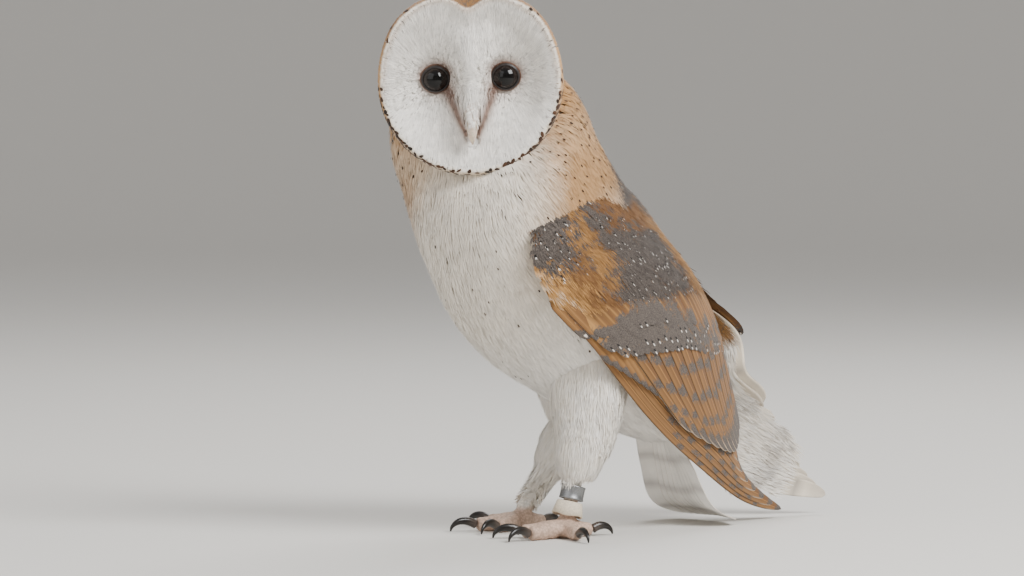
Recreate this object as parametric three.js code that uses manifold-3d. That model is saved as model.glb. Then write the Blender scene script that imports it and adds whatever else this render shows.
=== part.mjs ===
// A barn owl at life size, standing with its head turned to its left.
// Millimetres, +Z up. The owl's breast faces -Y and its own left is +X.
// Every piece is worked out from the driving dimensions below, then the whole is set down
// with the middle of its bounding box over the origin.

import * as THREE from "three";
import Module from "manifold-3d";
import { mergeVertices } from "three/addons/utils/BufferGeometryUtils.js";

const wasm = await Module();
wasm.setup();

const { sin, cos, abs, exp, sqrt, PI } = Math;
const { degToRad: radians, lerp, clamp, smoothstep, euclideanModulo } = THREE.MathUtils;
const at = (x, y, z) => new THREE.Vector3(x, y, z);
const mix = (a, b, t) => a.clone().lerp(b, t);

// ---------------------------------------------------------------- driving dimensions

const GAP = 0.3; // clear space between two neighbouring pieces
const CUT = 0.4; // width of the cuts that part the body

// Spine of the body from the tail's root to the middle of the skull: where each section is
// centred, its half width, how far the breast and the back stand out from the spine, and how
// far the section is turned with the head, in degrees.
const SPINE = [
  { y: 88, z: 58, side: 17, front: 13, back: 10, turn: 0 },
  { y: 68, z: 82, side: 34, front: 33, back: 29, turn: 0 },
  { y: 43, z: 112, side: 47, front: 50, back: 45, turn: 0 },
  { y: 18, z: 142, side: 54, front: 64, back: 53, turn: 0 },
  { y: -4, z: 172, side: 54, front: 67, back: 50, turn: 3 },
  { y: -25, z: 200, side: 56, front: 58, back: 45, turn: 22 },
  { y: -39, z: 226, side: 55, front: 30, back: 39, turn: 46 },
  { y: -47, z: 247, side: 49, front: 14, back: 33, turn: 55 },
  { y: -52, z: 270, side: 36, front: 12, back: 20, turn: 55 },
];
const BODY_ROUNDNESS = 2.25; // 2 is an ellipse, more is fuller at the corners
const BODY_SECTIONS = 14;
const BODY_SIDES = 24;

// Head: the middle of the facial disc, which way it looks, and the disc's size.
const FACE_TURN = radians(55);
const FACE_ROLL = radians(2);
const FACE_CENTRE = at(24.6, -68.4, 256);
const DISC_RADIUS = 49.2;
const DISC_CROWN_WIDER = 2; // the disc is this much wider above and narrower below
const DISC_LOBE = { height: 2.8, bearing: radians(42), width: radians(24) }; // a half of the heart
const NOTCH = { depth: 9, width: radians(12) }; // where the two halves of the heart meet
// Skull: how far behind the rim, the half width there, and the reach above and below the middle.
const SKULL = [
  { back: 7, side: 49, up: 49.5, down: 46 },
  { back: 20, side: 46.5, up: 49.5, down: 44 },
  { back: 34, side: 41.5, up: 46.5, down: 41 },
  { back: 47, side: 33, up: 38, down: 34 },
  { back: 57, side: 20, up: 24, down: 21 },
  { back: 61, side: 8, up: 10, down: 8 },
];
const DISC_SIDES = 32;
const DISC_RINGS = [0.94, 0.8, 0.62, 0.42, 0.2];
const DISH = { depth: 9, x: 21, y: 2, wide: 17, tall: 24 };
const RIDGE = { height: 9, top: 4, low: -24, wideTop: 13, wideLow: 6.5, sunk: 2.5 };
const RIDGE_FADES = { crown: [10, 40], chin: [-25, -16] }; // heights over which it dies away

const EYE = { radius: 8.6, x: 19.6, y: 4.4, sunk: 13.2 };
const BILL = { root: -14, tip: -32.5, stand: 8 };

// Legs, feathered down to the ring. A heel stands higher and further back than its foot.
const LEFT = { side: 1, hip: at(21, 18, 118), heel: at(27, 9, 60), ankle: at(27, -3.5, 13) };
const RIGHT = { side: -1, hip: at(-21, 30, 118), heel: at(-26, 43, 60), ankle: at(-25, 3, 13) };
const LEG_STATIONS = [0.27, 0.5, 0.64, 1.04]; // from the heel to the ankle
const LEG_GIRTH = [22, 21.5, 16.5, 14.5, 11.5, 5.6, 5.2]; // hip, thigh, heel, then at the stations

// Toes: bearing from straight ahead, outwards positive, and length without the claw.
const TOES = [
  { name: "inner", bearing: radians(-22), length: 25, root: 5.4, tip: 3.9 },
  { name: "middle", bearing: radians(10), length: 28, root: 5.6, tip: 4 },
  { name: "outer", bearing: radians(74), length: 23, root: 5.2, tip: 3.8 },
  { name: "hind", bearing: radians(172), length: 17, root: 5.2, tip: 3.9 },
];
const TOE_HEIGHT = 4.2;
const CLAW = {
  bend: 10.5,
  hindBend: 8.4,
  start: radians(30),
  turn: radians(118),
  girth: [2.6, 2.4, 1.9, 1.2, 0.45],
  tipHeight: 0.7,
};
const PAD_RADIUS = 7.8;

const RING = { inner: 6.1, wall: 0.9, tall: 8, along: 0.74 };
const CUFF = { inner: 5.7, wall: 1.1, tall: 8, flare: 1.6, along: 0.93 };

// Wings. A wing is a sheet between its leading edge and its trailing edge, from the shoulder to
// the tip, bowed outwards. The left one hangs lower; the right one is held higher and further out.
const LEFT_WING = {
  side: 1,
  leading: [
    [36, -32, 190], [56, -52, 169], [59, -51, 152], [60, -36, 130], [57, -8, 106],
    [47, 38, 66], [36, 77, 38], [21, 124, 13], [8, 168, 1.2],
  ],
  trailing: [
    [22, -8, 204], [23, 36, 198], [7, 77, 169], [5, 104, 140], [5, 117, 112],
    [5, 124, 88], [6, 131, 60], [7, 137, 33], [8, 172, 5],
  ],
  bow: [5, 17, 23, 24, 19, 11, 6, 3, 1],
};
const RIGHT_WING = {
  side: -1,
  leading: [
    [-36, -24, 190], [-56, -38, 168], [-61, -36, 147], [-61, -24, 122], [-59, 0, 101],
    [-49, 44, 75], [-36, 88, 50], [-22, 132, 26], [-10, 172, 6], [0, 206, 4],
  ],
  trailing: [
    [-22, -4, 204], [-23, 38, 198], [-7, 79, 170], [-5, 106, 144], [-4, 124, 124],
    [-4, 141, 106], [-4, 144, 84], [-4, 164, 68], [-3, 187, 46], [1, 209, 14],
  ],
  bow: [5, 15, 21, 22, 18, 12, 8, 5, 3, 1],
};
const COVERTS_END = 0.48; // share of the wing's length that the coverts reach
const SECONDARIES_END = 0.82;
const PRIMARIES_START = 0.36;
const PRIMARIES_EDGE = [0.2, 0.72]; // how far across they show: at their root, past the secondaries
const SECONDARY_STEPS = 28; // steps in the length of a whole wing
const PRIMARY_STEPS = 34;
const FEATHER_STEP = 0.035;
const WING_SEAM = 0.0022; // half the clear line between two pieces, as a share of the wing
const WING_START = 0.004;
const WING_THICK = { shoulder: 13, coverts: 7, secondaries: 4, primaries: 2.6, tip: 1.2 };
const WING_OUT = { coverts: 2.4, secondaries: 1.2, primaries: 0.3 }; // skin outside the sheet
const ROOM_OVER = 7; // nothing of the body stands this close over the coverts

// Tail: a folded fan that slopes to the floor and lies on it with its last centimetre.
const TAIL = {
  line: [[0, 66, 78], [0, 77, 56], [0, 87, 34], [0, 99, 12], [0, 125, 1.4]],
  half: [14, 22, 28, 30, 27],
  thick: [7, 6, 4.5, 3, 1.6],
  arch: 6,
  feathers: 12,
  notch: 0.03,
  corner: 0.07,
};

const PAINT = {
  white: [0xefeae2, 0.9],
  buff: [0xc99a63, 0.85],
  grey: [0x8d8580, 0.85],
  dark: [0x0b0908, 0.08],
  bill: [0xe0cfc2, 0.45],
  skin: [0xc9b3a4, 0.7],
  claw: [0x2b2624, 0.35],
  leather: [0xd8cdbb, 0.75],
  metal: [0xb4b5b6, 0.3, 0.9],
};

// ---------------------------------------------------------------- solids

function solidOf(points, faces) {
  const geometry = new THREE.BufferGeometry().setFromPoints(points);
  geometry.setIndex(faces);
  const merged = mergeVertices(geometry, 1e-4);
  const make = (triVerts) =>
    new wasm.Manifold(
      new wasm.Mesh({
        numProp: 3,
        vertProperties: merged.attributes.position.array,
        triVerts: Uint32Array.from(triVerts),
      }),
    );
  const index = Array.from(merged.index.array);
  const made = make(index);
  return made.volume() < 0 ? make(index.reverse()) : made;
}

// A closed skin through rings of equally many points, each end closed on its own middle.
function loft(rings) {
  const n = rings[0].length;
  const points = rings.flat();
  const faces = [];
  for (let i = 0; i < rings.length - 1; i++)
    for (let j = 0; j < n; j++) {
      const a = i * n + j;
      const b = i * n + ((j + 1) % n);
      faces.push(a, b, b + n, a, b + n, a + n);
    }
  const middle = (ring) => ring.reduce((sum, p) => sum.add(p), at(0, 0, 0)).divideScalar(n);
  points.push(middle(rings[0]), middle(rings.at(-1)));
  const last = (rings.length - 1) * n;
  for (let j = 0; j < n; j++) {
    const next = (j + 1) % n;
    faces.push(points.length - 2, next, j, points.length - 1, last + j, last + next);
  }
  return solidOf(points, faces);
}

// A smooth curve through points, run from 0 to 1 with equal steps between the points.
const through = (points) => new THREE.CatmullRomCurve3(points, false, "catmullrom", 0.5);

// A tube of changing radius along a path. Its rings stand square to the path, with one axis
// held close to the direction aside.
function tube({ path, girth, aside, steps, sides, grow = 0 }) {
  const line = through(path);
  const wide = through(girth.map((r) => at(r, 0, 0)));
  const rings = [];
  for (let i = 0; i <= steps; i++) {
    const t = i / steps;
    const along = line.getTangent(t);
    const above = along.clone().cross(aside).normalize();
    const across = above.clone().cross(along).normalize();
    const r = wide.getPoint(t).x + grow;
    rings.push(
      Array.from({ length: sides }, (_, j) => {
        const a = (j / sides) * 2 * PI;
        return line
          .getPoint(t)
          .addScaledVector(across, r * cos(a))
          .addScaledVector(above, r * sin(a));
      }),
    );
  }
  return loft(rings);
}

// A curved plate on a grid: outer and inner give a point for each row and column.
function plate(rows, columns, outer, inner) {
  const points = [];
  for (const side of [outer, inner])
    for (let i = 0; i <= rows; i++)
      for (let j = 0; j <= columns; j++) points.push(side(i / rows, j / columns));
  const w = columns + 1;
  const deep = (rows + 1) * w;
  const faces = [];
  const quad = (a, b, c, d) => faces.push(a, b, c, a, c, d);
  for (let i = 0; i < rows; i++)
    for (let j = 0; j < columns; j++) {
      const a = i * w + j;
      quad(a, a + 1, a + w + 1, a + w);
      quad(deep + a, deep + a + w, deep + a + w + 1, deep + a + 1);
    }
  for (let i = 0; i < rows; i++)
    for (const [j, way] of [[0, 1], [columns, -1]]) {
      const a = i * w + j;
      const edge = [a, a + w, deep + a + w, deep + a];
      quad(...(way > 0 ? edge : edge.reverse()));
    }
  for (let j = 0; j < columns; j++)
    for (const [i, way] of [[0, -1], [rows, 1]]) {
      const a = i * w + j;
      const edge = [a, a + 1, deep + a + 1, deep + a];
      quad(...(way > 0 ? edge : edge.reverse()));
    }
  return solidOf(points, faces);
}

const largest = (solid) => solid.decompose().sort((a, b) => b.volume() - a.volume())[0];

// What lies on the side of a plane that its normal points to.
const beyond = (solid, normal, point, shift = 0) =>
  solid.trimByPlane(normal.toArray(), normal.dot(point) + shift);

const standing = (solid) => beyond(solid, at(0, 0, 1), at(0, 0, 0));

// ---------------------------------------------------------------- trunk, neck and head

// Distance from the spine to the skin of a section, at a bearing round it.
function reach(bearing, side, front, back) {
  const out = sin(bearing) > 0 ? back : front;
  const n = BODY_ROUNDNESS;
  return ((abs(cos(bearing)) / side) ** n + (abs(sin(bearing)) / out) ** n) ** (-1 / n);
}

function bodyLoft(grow = 0) {
  const line = through(SPINE.map((s) => at(0, s.y, s.z)));
  const girth = through(SPINE.map((s) => at(s.side, s.front, s.back)));
  const turns = through(SPINE.map((s) => at(radians(s.turn), 0, 0)));
  const rings = [];
  for (let i = 0; i <= BODY_SECTIONS; i++) {
    const t = i / BODY_SECTIONS;
    const along = line.getTangent(t);
    const turn = turns.getPoint(t).x;
    const aside = at(1, 0, 0);
    const dorsal = at(0, along.z, -along.y);
    const { x: side, y: front, z: back } = girth.getPoint(t);
    rings.push(
      Array.from({ length: BODY_SIDES }, (_, j) => {
        const a = (j / BODY_SIDES) * 2 * PI;
        const r = reach(a - turn, side, front, back) + grow;
        return line
          .getPoint(t)
          .addScaledVector(aside, r * cos(a))
          .addScaledVector(dorsal, r * sin(a));
      }),
    );
  }
  return loft(rings);
}

const facing = at(sin(FACE_TURN), -cos(FACE_TURN), 0);
const faceUp = at(0, 0, 1).applyAxisAngle(facing, FACE_ROLL);
const faceLeft = faceUp.clone().cross(facing);

const onFace = (x, y, forward) =>
  FACE_CENTRE.clone()
    .addScaledVector(faceLeft, x)
    .addScaledVector(faceUp, y)
    .addScaledVector(facing, forward);

function discRadius(angle) {
  const fromTop = abs(euclideanModulo(angle + PI / 2, 2 * PI) - PI);
  const lobe = exp(-(((fromTop - DISC_LOBE.bearing) / DISC_LOBE.width) ** 2));
  const notch = exp(-((fromTop / NOTCH.width) ** 2));
  const round = DISC_RADIUS + DISC_CROWN_WIDER * sin(angle);
  return round + DISC_LOBE.height * lobe - NOTCH.depth * notch;
}

// How far the face stands forward at a point of the disc: a dish round each eye, with the ridge
// of the forehead between them, narrowing down to the bill.
function faceDepth(x, y, share) {
  const dish = exp(-(((abs(x) - DISH.x) / DISH.wide) ** 2) - ((y - DISH.y) / DISH.tall) ** 2);
  const down = clamp((RIDGE.top - y) / (RIDGE.top - RIDGE.low), -0.3, 1.2);
  const wide = lerp(RIDGE.wideTop, RIDGE.wideLow, down);
  const crown = 1 - smoothstep(y, ...RIDGE_FADES.crown);
  const ridge = exp(-((x / wide) ** 2)) * crown * smoothstep(y, ...RIDGE_FADES.chin);
  const rim = smoothstep(1 - share, 0, 0.3);
  return (RIDGE.height * ridge - DISH.depth * dish * (1 - ridge) - RIDGE.sunk) * rim;
}

function headLoft(grow = 0) {
  const ring = (make) =>
    Array.from({ length: DISC_SIDES }, (_, j) => make((j / DISC_SIDES) * 2 * PI));
  const front = [...DISC_RINGS].reverse().map((share) =>
    ring((a) => {
      const r = discRadius(a) * share;
      const x = r * cos(a);
      const y = r * sin(a);
      return onFace(x, y, faceDepth(x, y, share) + grow);
    }),
  );
  const rim = ring((a) => {
    const r = discRadius(a) + grow;
    return onFace(r * cos(a), r * sin(a), 0);
  });
  const skull = SKULL.map((s) =>
    ring((a) => {
      const tall = sin(a) > 0 ? s.up : s.down;
      return onFace((s.side + grow) * cos(a), (tall + grow) * sin(a), -s.back - grow);
    }),
  );
  return loft([...front, rim, ...skull]);
}

const pointsOf = (geometry) => {
  const { position } = geometry.attributes;
  return Array.from({ length: position.count }, (_, i) =>
    new THREE.Vector3().fromBufferAttribute(position, i),
  );
};

// A ball on a grid of parallels and meridians, the poles in line with the direction up.
function ball(centre, radius, wide = 14, tall = 10, up = at(0, 0, 1)) {
  const geometry = new THREE.SphereGeometry(radius, wide, tall);
  geometry.applyQuaternion(new THREE.Quaternion().setFromUnitVectors(at(0, 1, 0), up));
  geometry.translate(centre.x, centre.y, centre.z);
  geometry.deleteAttribute("normal");
  geometry.deleteAttribute("uv");
  const merged = mergeVertices(geometry, 1e-3);
  const index = Array.from(merged.index.array);
  const faces = [];
  for (let i = 0; i < index.length; i += 3) {
    const corners = index.slice(i, i + 3);
    if (new Set(corners).size === 3) faces.push(...corners);
  }
  return solidOf(pointsOf(merged), faces);
}

const eyeball = (side, grow = 0) =>
  ball(onFace(side * EYE.x, EYE.y, -EYE.sunk), EYE.radius + grow, 12, 8, facing);

// Upper mandible: it leaves the ridge, arches forward and hooks straight down. The lower one
// fills the hook from behind.
function billUpper(grow = 0) {
  const path = [
    onFace(0, BILL.root + 6, BILL.stand - 9),
    onFace(0, BILL.root - 1, BILL.stand - 3),
    onFace(0, BILL.root - 8, BILL.stand - 0.6),
    onFace(0, BILL.root - 14, BILL.stand - 2.2),
    onFace(0, BILL.tip, BILL.stand - 5.6),
  ];
  return tube({ path, girth: [5.5, 5, 4.2, 2.8, 0.5], aside: faceLeft, steps: 7, sides: 8, grow });
}

function billLower(grow = 0) {
  const path = [
    onFace(0, BILL.root - 4, -2),
    onFace(0, BILL.root - 9, 0.2),
    onFace(0, BILL.tip + 3.6, 1.4),
  ];
  return tube({ path, girth: [3.7, 3.3, 1.2], aside: faceLeft, steps: 4, sides: 8, grow });
}

const HEAD_CUT = { normal: at(0.1, -0.3, 0.95).normalize(), point: at(0, -50, 205) };
const NECK_CUT = { normal: at(0, -0.4, 0.917).normalize(), point: at(0, -25, 184) };
const FACE_CLEAR = 14; // the neck's own bulk keeps this far behind the disc

// The skull with the neck's bulk behind and under it.
function headAndNape(grow = 0) {
  const nape = beyond(bodyLoft(grow), HEAD_CUT.normal, HEAD_CUT.point, CUT / 2);
  const behind = beyond(nape, facing.clone().negate(), onFace(0, 0, -FACE_CLEAR));
  return headLoft(grow).add(behind);
}

function partedBody() {
  const under = (solid, { normal, point }) =>
    beyond(solid, normal.clone().negate(), point, CUT / 2);
  let head = headAndNape().subtract(billUpper(GAP)).subtract(billLower(GAP));
  for (const side of [1, -1]) head = head.subtract(eyeball(side, GAP));
  const below = under(bodyLoft(), HEAD_CUT);
  const neck = beyond(below, NECK_CUT.normal, NECK_CUT.point, CUT / 2);
  const trunk = under(below, NECK_CUT);
  return [head, neck, trunk].map(largest);
}

// ---------------------------------------------------------------- legs and feet

// A whole leg from the hip inside the body to the ankle.
function limb(leg, grow = 0) {
  const { hip, heel, ankle } = leg;
  const path = [
    hip, mix(hip, heel, 0.5), heel,
    ...LEG_STATIONS.map((t) => mix(heel, ankle, t)),
  ];
  return tube({ path, girth: LEG_GIRTH, aside: at(1, 0, 0), steps: 12, sides: 12, grow });
}

const shankDirection = (leg) => leg.ankle.clone().sub(leg.heel).normalize();

const heading = (leg, toe) => at(leg.side * sin(toe.bearing), -cos(toe.bearing), 0);
const asideOf = (direction) => at(0, 0, 1).cross(direction);

function toeTube(leg, toe, grow = 0) {
  const dir = heading(leg, toe);
  const on = (s, z) => at(leg.ankle.x, leg.ankle.y - 2, z).addScaledVector(dir, s * toe.length);
  const path = [
    on(0, TOE_HEIGHT + 1), on(0.36, TOE_HEIGHT + 1), on(0.7, TOE_HEIGHT), on(1, TOE_HEIGHT),
  ];
  const girth = [toe.root, toe.root - 0.4, toe.tip + 0.5, toe.tip];
  return tube({ path, girth, aside: asideOf(dir), steps: 3, sides: 8, grow });
}

// A claw leaves the toe's tip rising a little and turns over until it points at the floor.
function claw(leg, toe, grow = 0) {
  const dir = heading(leg, toe);
  const bend = toe.name === "hind" ? CLAW.hindBend : CLAW.bend;
  const root = at(leg.ankle.x, leg.ankle.y - 2, TOE_HEIGHT).addScaledVector(dir, toe.length + 1);
  const steps = 6;
  const path = [];
  for (let i = 0; i <= steps; i++) {
    const a = CLAW.start - (CLAW.turn * i) / steps;
    const ahead = bend * (sin(CLAW.start) - sin(a));
    const up = bend * (cos(a) - cos(CLAW.start));
    path.push(root.clone().addScaledVector(dir, ahead).add(at(0, 0, up)));
  }
  const drop = path.at(-1).z - CLAW.tipHeight;
  path.forEach((p, i) => p.setZ(p.z - drop * (i / steps) ** 1.5));
  return tube({ path, girth: CLAW.girth, aside: asideOf(dir), steps: 5, sides: 6, grow });
}

// The pad under the ankle with its four toes.
function footBulk(leg, grow = 0) {
  const pad = ball(at(leg.ankle.x, leg.ankle.y - 1, TOE_HEIGHT), PAD_RADIUS + grow, 10, 6);
  return TOES.reduce((whole, toe) => whole.add(toeTube(leg, toe, grow)), pad);
}

function foot(leg) {
  const clawless = TOES.reduce((whole, toe) => whole.subtract(claw(leg, toe, GAP)), footBulk(leg));
  return largest(standing(clawless.subtract(limb(leg, GAP))));
}

// A band round the leg, a closed profile turned about the line of the shank.
function band(leg, { inner, wall, tall, flare = 0, along }) {
  const centre = mix(leg.heel, leg.ankle, along);
  const profile = [
    [inner + flare, -tall / 2], [inner + flare + wall, -tall / 2], [inner + wall, tall / 2],
    [inner, tall / 2], [inner + flare, -tall / 2],
  ].map(([r, z]) => new THREE.Vector2(r, z));
  const geometry = new THREE.LatheGeometry(profile, 20);
  const upright = at(0, 1, 0);
  const upward = shankDirection(leg).negate();
  geometry.applyQuaternion(new THREE.Quaternion().setFromUnitVectors(upright, upward));
  geometry.translate(centre.x, centre.y, centre.z);
  return solidOf(pointsOf(geometry), Array.from(geometry.index.array));
}

// ---------------------------------------------------------------- wings and tail

function wingSheet(wing) {
  const leading = through(wing.leading.map((p) => at(...p)));
  const trailing = through(wing.trailing.map((p) => at(...p)));
  const bow = through(wing.bow.map((b) => at(b, 0, 0)));
  const outward = (t) => {
    const across = trailing.getPoint(t).sub(leading.getPoint(t));
    const down = leading.getTangent(Math.min(t, 0.97));
    const out = across.cross(down).normalize();
    return out.x * wing.side < 0 ? out.negate() : out;
  };
  const point = (t, v) =>
    mix(leading.getPoint(t), trailing.getPoint(t), v).addScaledVector(
      outward(t), bow.getPoint(t).x * 4 * v * (1 - v),
    );
  const normal = (t, v) => {
    const e = 0.01;
    const du = point(Math.min(t + e, 1), v).sub(point(Math.max(t - e, 0), v));
    const dv = point(t, Math.min(v + e, 1)).sub(point(t, Math.max(v - e, 0)));
    const out = du.cross(dv).normalize();
    return out.dot(outward(t)) < 0 ? out.negate() : out;
  };
  return { point, normal };
}

// The line across the wing where the primaries pass under the secondaries.
function primaryEdge(t) {
  const s = (t - PRIMARIES_START) / (SECONDARIES_END - PRIMARIES_START);
  return lerp(PRIMARIES_EDGE[0], PRIMARIES_EDGE[1], clamp(s, 0, 1));
}

function wingPlate({ wing, rows, columns, u, v, thick, out }) {
  const sheet = wingSheet(wing);
  const place = (i, j) => {
    const t = lerp(u[0], u[1], i);
    const [low, high] = v(t);
    return [t, lerp(low, high, j)];
  };
  const face = (i, j, depth) => {
    const [t, across] = place(i, j);
    return sheet.point(t, across).addScaledVector(sheet.normal(t, across), depth);
  };
  return plate(
    rows, columns,
    (i, j) => face(i, j, out(i, j)),
    (i, j) => face(i, j, out(i, j) - thick(i, j)),
  );
}

// Thicker in the middle than at its edges, as overlapping feathers are.
const lens = (j) => 0.45 + 0.55 * sqrt(sin(PI * clamp(j, 0.02, 0.98)));

const covertsThick = (i, j) => lerp(WING_THICK.shoulder, WING_THICK.coverts, i) * lens(j);
const covertsOut = (i, j) => WING_OUT.coverts * lens(j);

// The room a folded wing takes in the body's side: the coverts with a clear space round them,
// and a layer over them so that nothing of the body stands in front.
function wingRoom(wing) {
  const layer = (thick, out) =>
    wingPlate({
      wing, rows: 8, columns: 8, u: [0, COVERTS_END + WING_SEAM], v: () => [-0.012, 1.012],
      thick, out,
    });
  const cover = layer((i, j) => covertsThick(i, j) + 2 * GAP, (i, j) => covertsOut(i, j) + GAP);
  return cover.add(layer(() => ROOM_OVER + 1, (i, j) => covertsOut(i, j) + ROOM_OVER));
}

// The trailing edge steps in a little between the tip of each flight feather and the next.
const stepped = (t, feathers) => 1 - FEATHER_STEP * ((t * feathers) % 1);

// How far across the primaries show. Past the secondaries they reach the trailing edge.
function primaryReach(t) {
  if (t < SECONDARIES_END) return primaryEdge(t) - WING_SEAM;
  const beyond = (t - SECONDARIES_END) / (1 - SECONDARIES_END);
  return lerp(PRIMARIES_EDGE[1] - WING_SEAM, 1, sqrt(beyond)) * stepped(t, PRIMARY_STEPS);
}

function wingPieces(wing) {
  const coverts = wingPlate({
    wing, rows: 8, columns: 8, u: [WING_START, COVERTS_END - WING_SEAM], v: () => [0, 1],
    thick: covertsThick, out: covertsOut,
  });
  const secondaries = wingPlate({
    wing, rows: 20, columns: 4, u: [COVERTS_END + WING_SEAM, SECONDARIES_END],
    v: (t) => [primaryEdge(t) + WING_SEAM, stepped(t, SECONDARY_STEPS)],
    thick: () => WING_THICK.secondaries, out: () => WING_OUT.secondaries,
  });
  const primaries = wingPlate({
    wing, rows: 20, columns: 3, u: [COVERTS_END + WING_SEAM, 1], v: (t) => [0, primaryReach(t)],
    thick: (i) => lerp(WING_THICK.primaries, WING_THICK.tip, i), out: () => WING_OUT.primaries,
  });
  return { coverts, secondaries, primaries };
}

// How much shorter the fan is at a place across it: rounded at the corners, with a notch
// between each feather and the next.
function tipNotch(across) {
  const feather = abs(cos((across * TAIL.feathers * PI) / 2));
  return TAIL.notch * (1 - feather) + TAIL.corner * abs(across) ** 3;
}

function tail(grow = 0) {
  const line = through(TAIL.line.map((p) => at(...p)));
  const size = through(TAIL.half.map((h, i) => at(h, TAIL.thick[i], 0)));
  const face = (i, j, depth) => {
    const { x: half } = size.getPoint(i);
    const along = line.getTangent(i);
    const above = at(0, along.z, -along.y).multiplyScalar(-1);
    const across = 2 * j - 1;
    const fold = TAIL.arch * (1 - across * across) * (1 - 0.8 * i);
    return line
      .getPoint(i - tipNotch(across) * i ** 12)
      .add(at((half + grow) * across, 0, 0))
      .addScaledVector(above, fold + depth);
  };
  const half = (i) => size.getPoint(i).y / 2 + grow;
  return plate(5, 24, (i, j) => face(i, j, half(i)), (i, j) => face(i, j, -half(i)));
}

// ---------------------------------------------------------------- the owl

const pieces = [];
const add = (name, solid, paint) => pieces.push({ name, solid, paint });

const [head, neck, trunk] = partedBody();
const headClear = headLoft(GAP);
const bodyClear = bodyLoft(GAP).add(headClear);
const room = wingRoom(LEFT_WING).add(wingRoom(RIGHT_WING));
add("head", head, "white");
add("neck", largest(neck.subtract(room)), "buff");
add("trunk", largest(trunk.subtract(room)), "white");
add("eye_left", eyeball(1), "dark");
add("eye_right", eyeball(-1), "dark");
add("bill_upper", largest(billUpper().subtract(headClear)), "bill");
add("bill_lower", largest(billLower().subtract(headClear).subtract(billUpper(GAP))), "bill");

const limbs = limb(LEFT, GAP).add(limb(RIGHT, GAP));
let keepClear = bodyClear.add(limbs);
for (const [word, leg] of [["left", LEFT], ["right", RIGHT]]) {
  const bare = limb(leg).subtract(bodyClear);
  const upward = at(0, -0.3, 1).normalize();
  const downward = upward.clone().negate();
  add(`thigh_${word}`, largest(beyond(bare, upward, leg.heel, CUT / 2)), "white");
  add(`leg_${word}`, largest(beyond(bare, downward, leg.heel, CUT / 2)), "white");
  add(`foot_${word}`, foot(leg), "skin");
  for (const toe of TOES) {
    add(`claw_${word}_${toe.name}`, largest(standing(claw(leg, toe))), "claw");
  }
}
add("leg_ring", band(LEFT, RING), "metal");
add("leg_cuff", largest(band(LEFT, CUFF).subtract(footBulk(LEFT, GAP))), "leather");

const clearOf = (solid, others) => largest(standing(solid.subtract(others)));
add("tail", clearOf(tail(), bodyClear), "white");
keepClear = keepClear.add(tail(GAP));
for (const [word, wing] of [["left", LEFT_WING], ["right", RIGHT_WING]]) {
  const { coverts, secondaries, primaries } = wingPieces(wing);
  add(`wing_${word}_coverts`, clearOf(coverts, limbs), "grey");
  add(`wing_${word}_secondaries`, clearOf(secondaries, keepClear), "buff");
  add(`wing_${word}_primaries`, clearOf(primaries, keepClear), "buff");
}

function meshOf({ name, solid, paint }) {
  const { vertProperties, triVerts } = solid.getMesh();
  const geometry = new THREE.BufferGeometry()
    .setAttribute("position", new THREE.BufferAttribute(vertProperties, 3))
    .setIndex(new THREE.BufferAttribute(triVerts, 1));
  geometry.computeVertexNormals();
  const [color, roughness, metalness = 0] = PAINT[paint];
  const mesh = new THREE.Mesh(
    geometry,
    new THREE.MeshStandardMaterial({ color, roughness, metalness }),
  );
  mesh.name = name;
  return mesh;
}

const owl = new THREE.Group();
owl.add(...pieces.map(meshOf));
const box = new THREE.Box3().setFromObject(owl);
owl.position.set(-(box.min.x + box.max.x) / 2, -(box.min.y + box.max.y) / 2, -box.min.z);

export default owl;
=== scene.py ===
"""A barn owl at life size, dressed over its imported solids.

One skin takes the place of the solids of flesh. Over it lie the plumage, in locks and vanes that
follow the lie of the feathers, and the eyes, lids, bill, claws, leg ring and leather cuff.
Shapes are worked out in millimetres, in the bird's own frame: its breast faces -Y, its left is +X.
"""

from math import cos, pi, radians, sin, tau
from types import SimpleNamespace

import bpy
import numpy as np
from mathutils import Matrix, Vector


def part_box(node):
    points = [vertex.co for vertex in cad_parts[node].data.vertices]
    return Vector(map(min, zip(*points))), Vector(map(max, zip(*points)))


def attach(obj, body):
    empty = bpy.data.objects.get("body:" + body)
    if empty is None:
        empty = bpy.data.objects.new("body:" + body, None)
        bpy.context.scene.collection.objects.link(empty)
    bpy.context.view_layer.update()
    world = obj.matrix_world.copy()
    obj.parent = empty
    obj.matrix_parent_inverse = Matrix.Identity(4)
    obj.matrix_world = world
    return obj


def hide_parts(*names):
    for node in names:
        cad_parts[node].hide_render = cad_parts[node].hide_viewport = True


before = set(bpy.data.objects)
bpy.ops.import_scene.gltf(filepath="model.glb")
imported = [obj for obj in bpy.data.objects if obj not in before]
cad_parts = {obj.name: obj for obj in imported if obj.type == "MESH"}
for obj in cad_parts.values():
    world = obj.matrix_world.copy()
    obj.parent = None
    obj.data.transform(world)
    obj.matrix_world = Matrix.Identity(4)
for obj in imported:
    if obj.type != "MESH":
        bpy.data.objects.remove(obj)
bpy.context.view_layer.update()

MM = 0.001

# ---------------------------------------------------------------- sizes, in millimetres

# Spine: y and z of each section, its half width, reach to the breast and to the back, and its
# turn with the head in degrees.
SPINE = np.array([
    (88, 58, 17, 13, 10, 0), (68, 82, 34, 33, 29, 0), (43, 112, 47, 50, 45, 0),
    (18, 142, 54, 64, 53, 0), (-4, 172, 54, 67, 50, 3), (-25, 200, 56, 58, 45, 22),
    (-39, 226, 55, 30, 39, 46), (-47, 247, 49, 14, 33, 55), (-52, 270, 36, 12, 20, 55),
], float)
BODY_ROUNDNESS = 2.25
FACE_TURN = radians(55)
FACE_ROLL = radians(2)
FACE_CENTRE = np.array((24.6, -68.4, 256.0))
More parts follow.
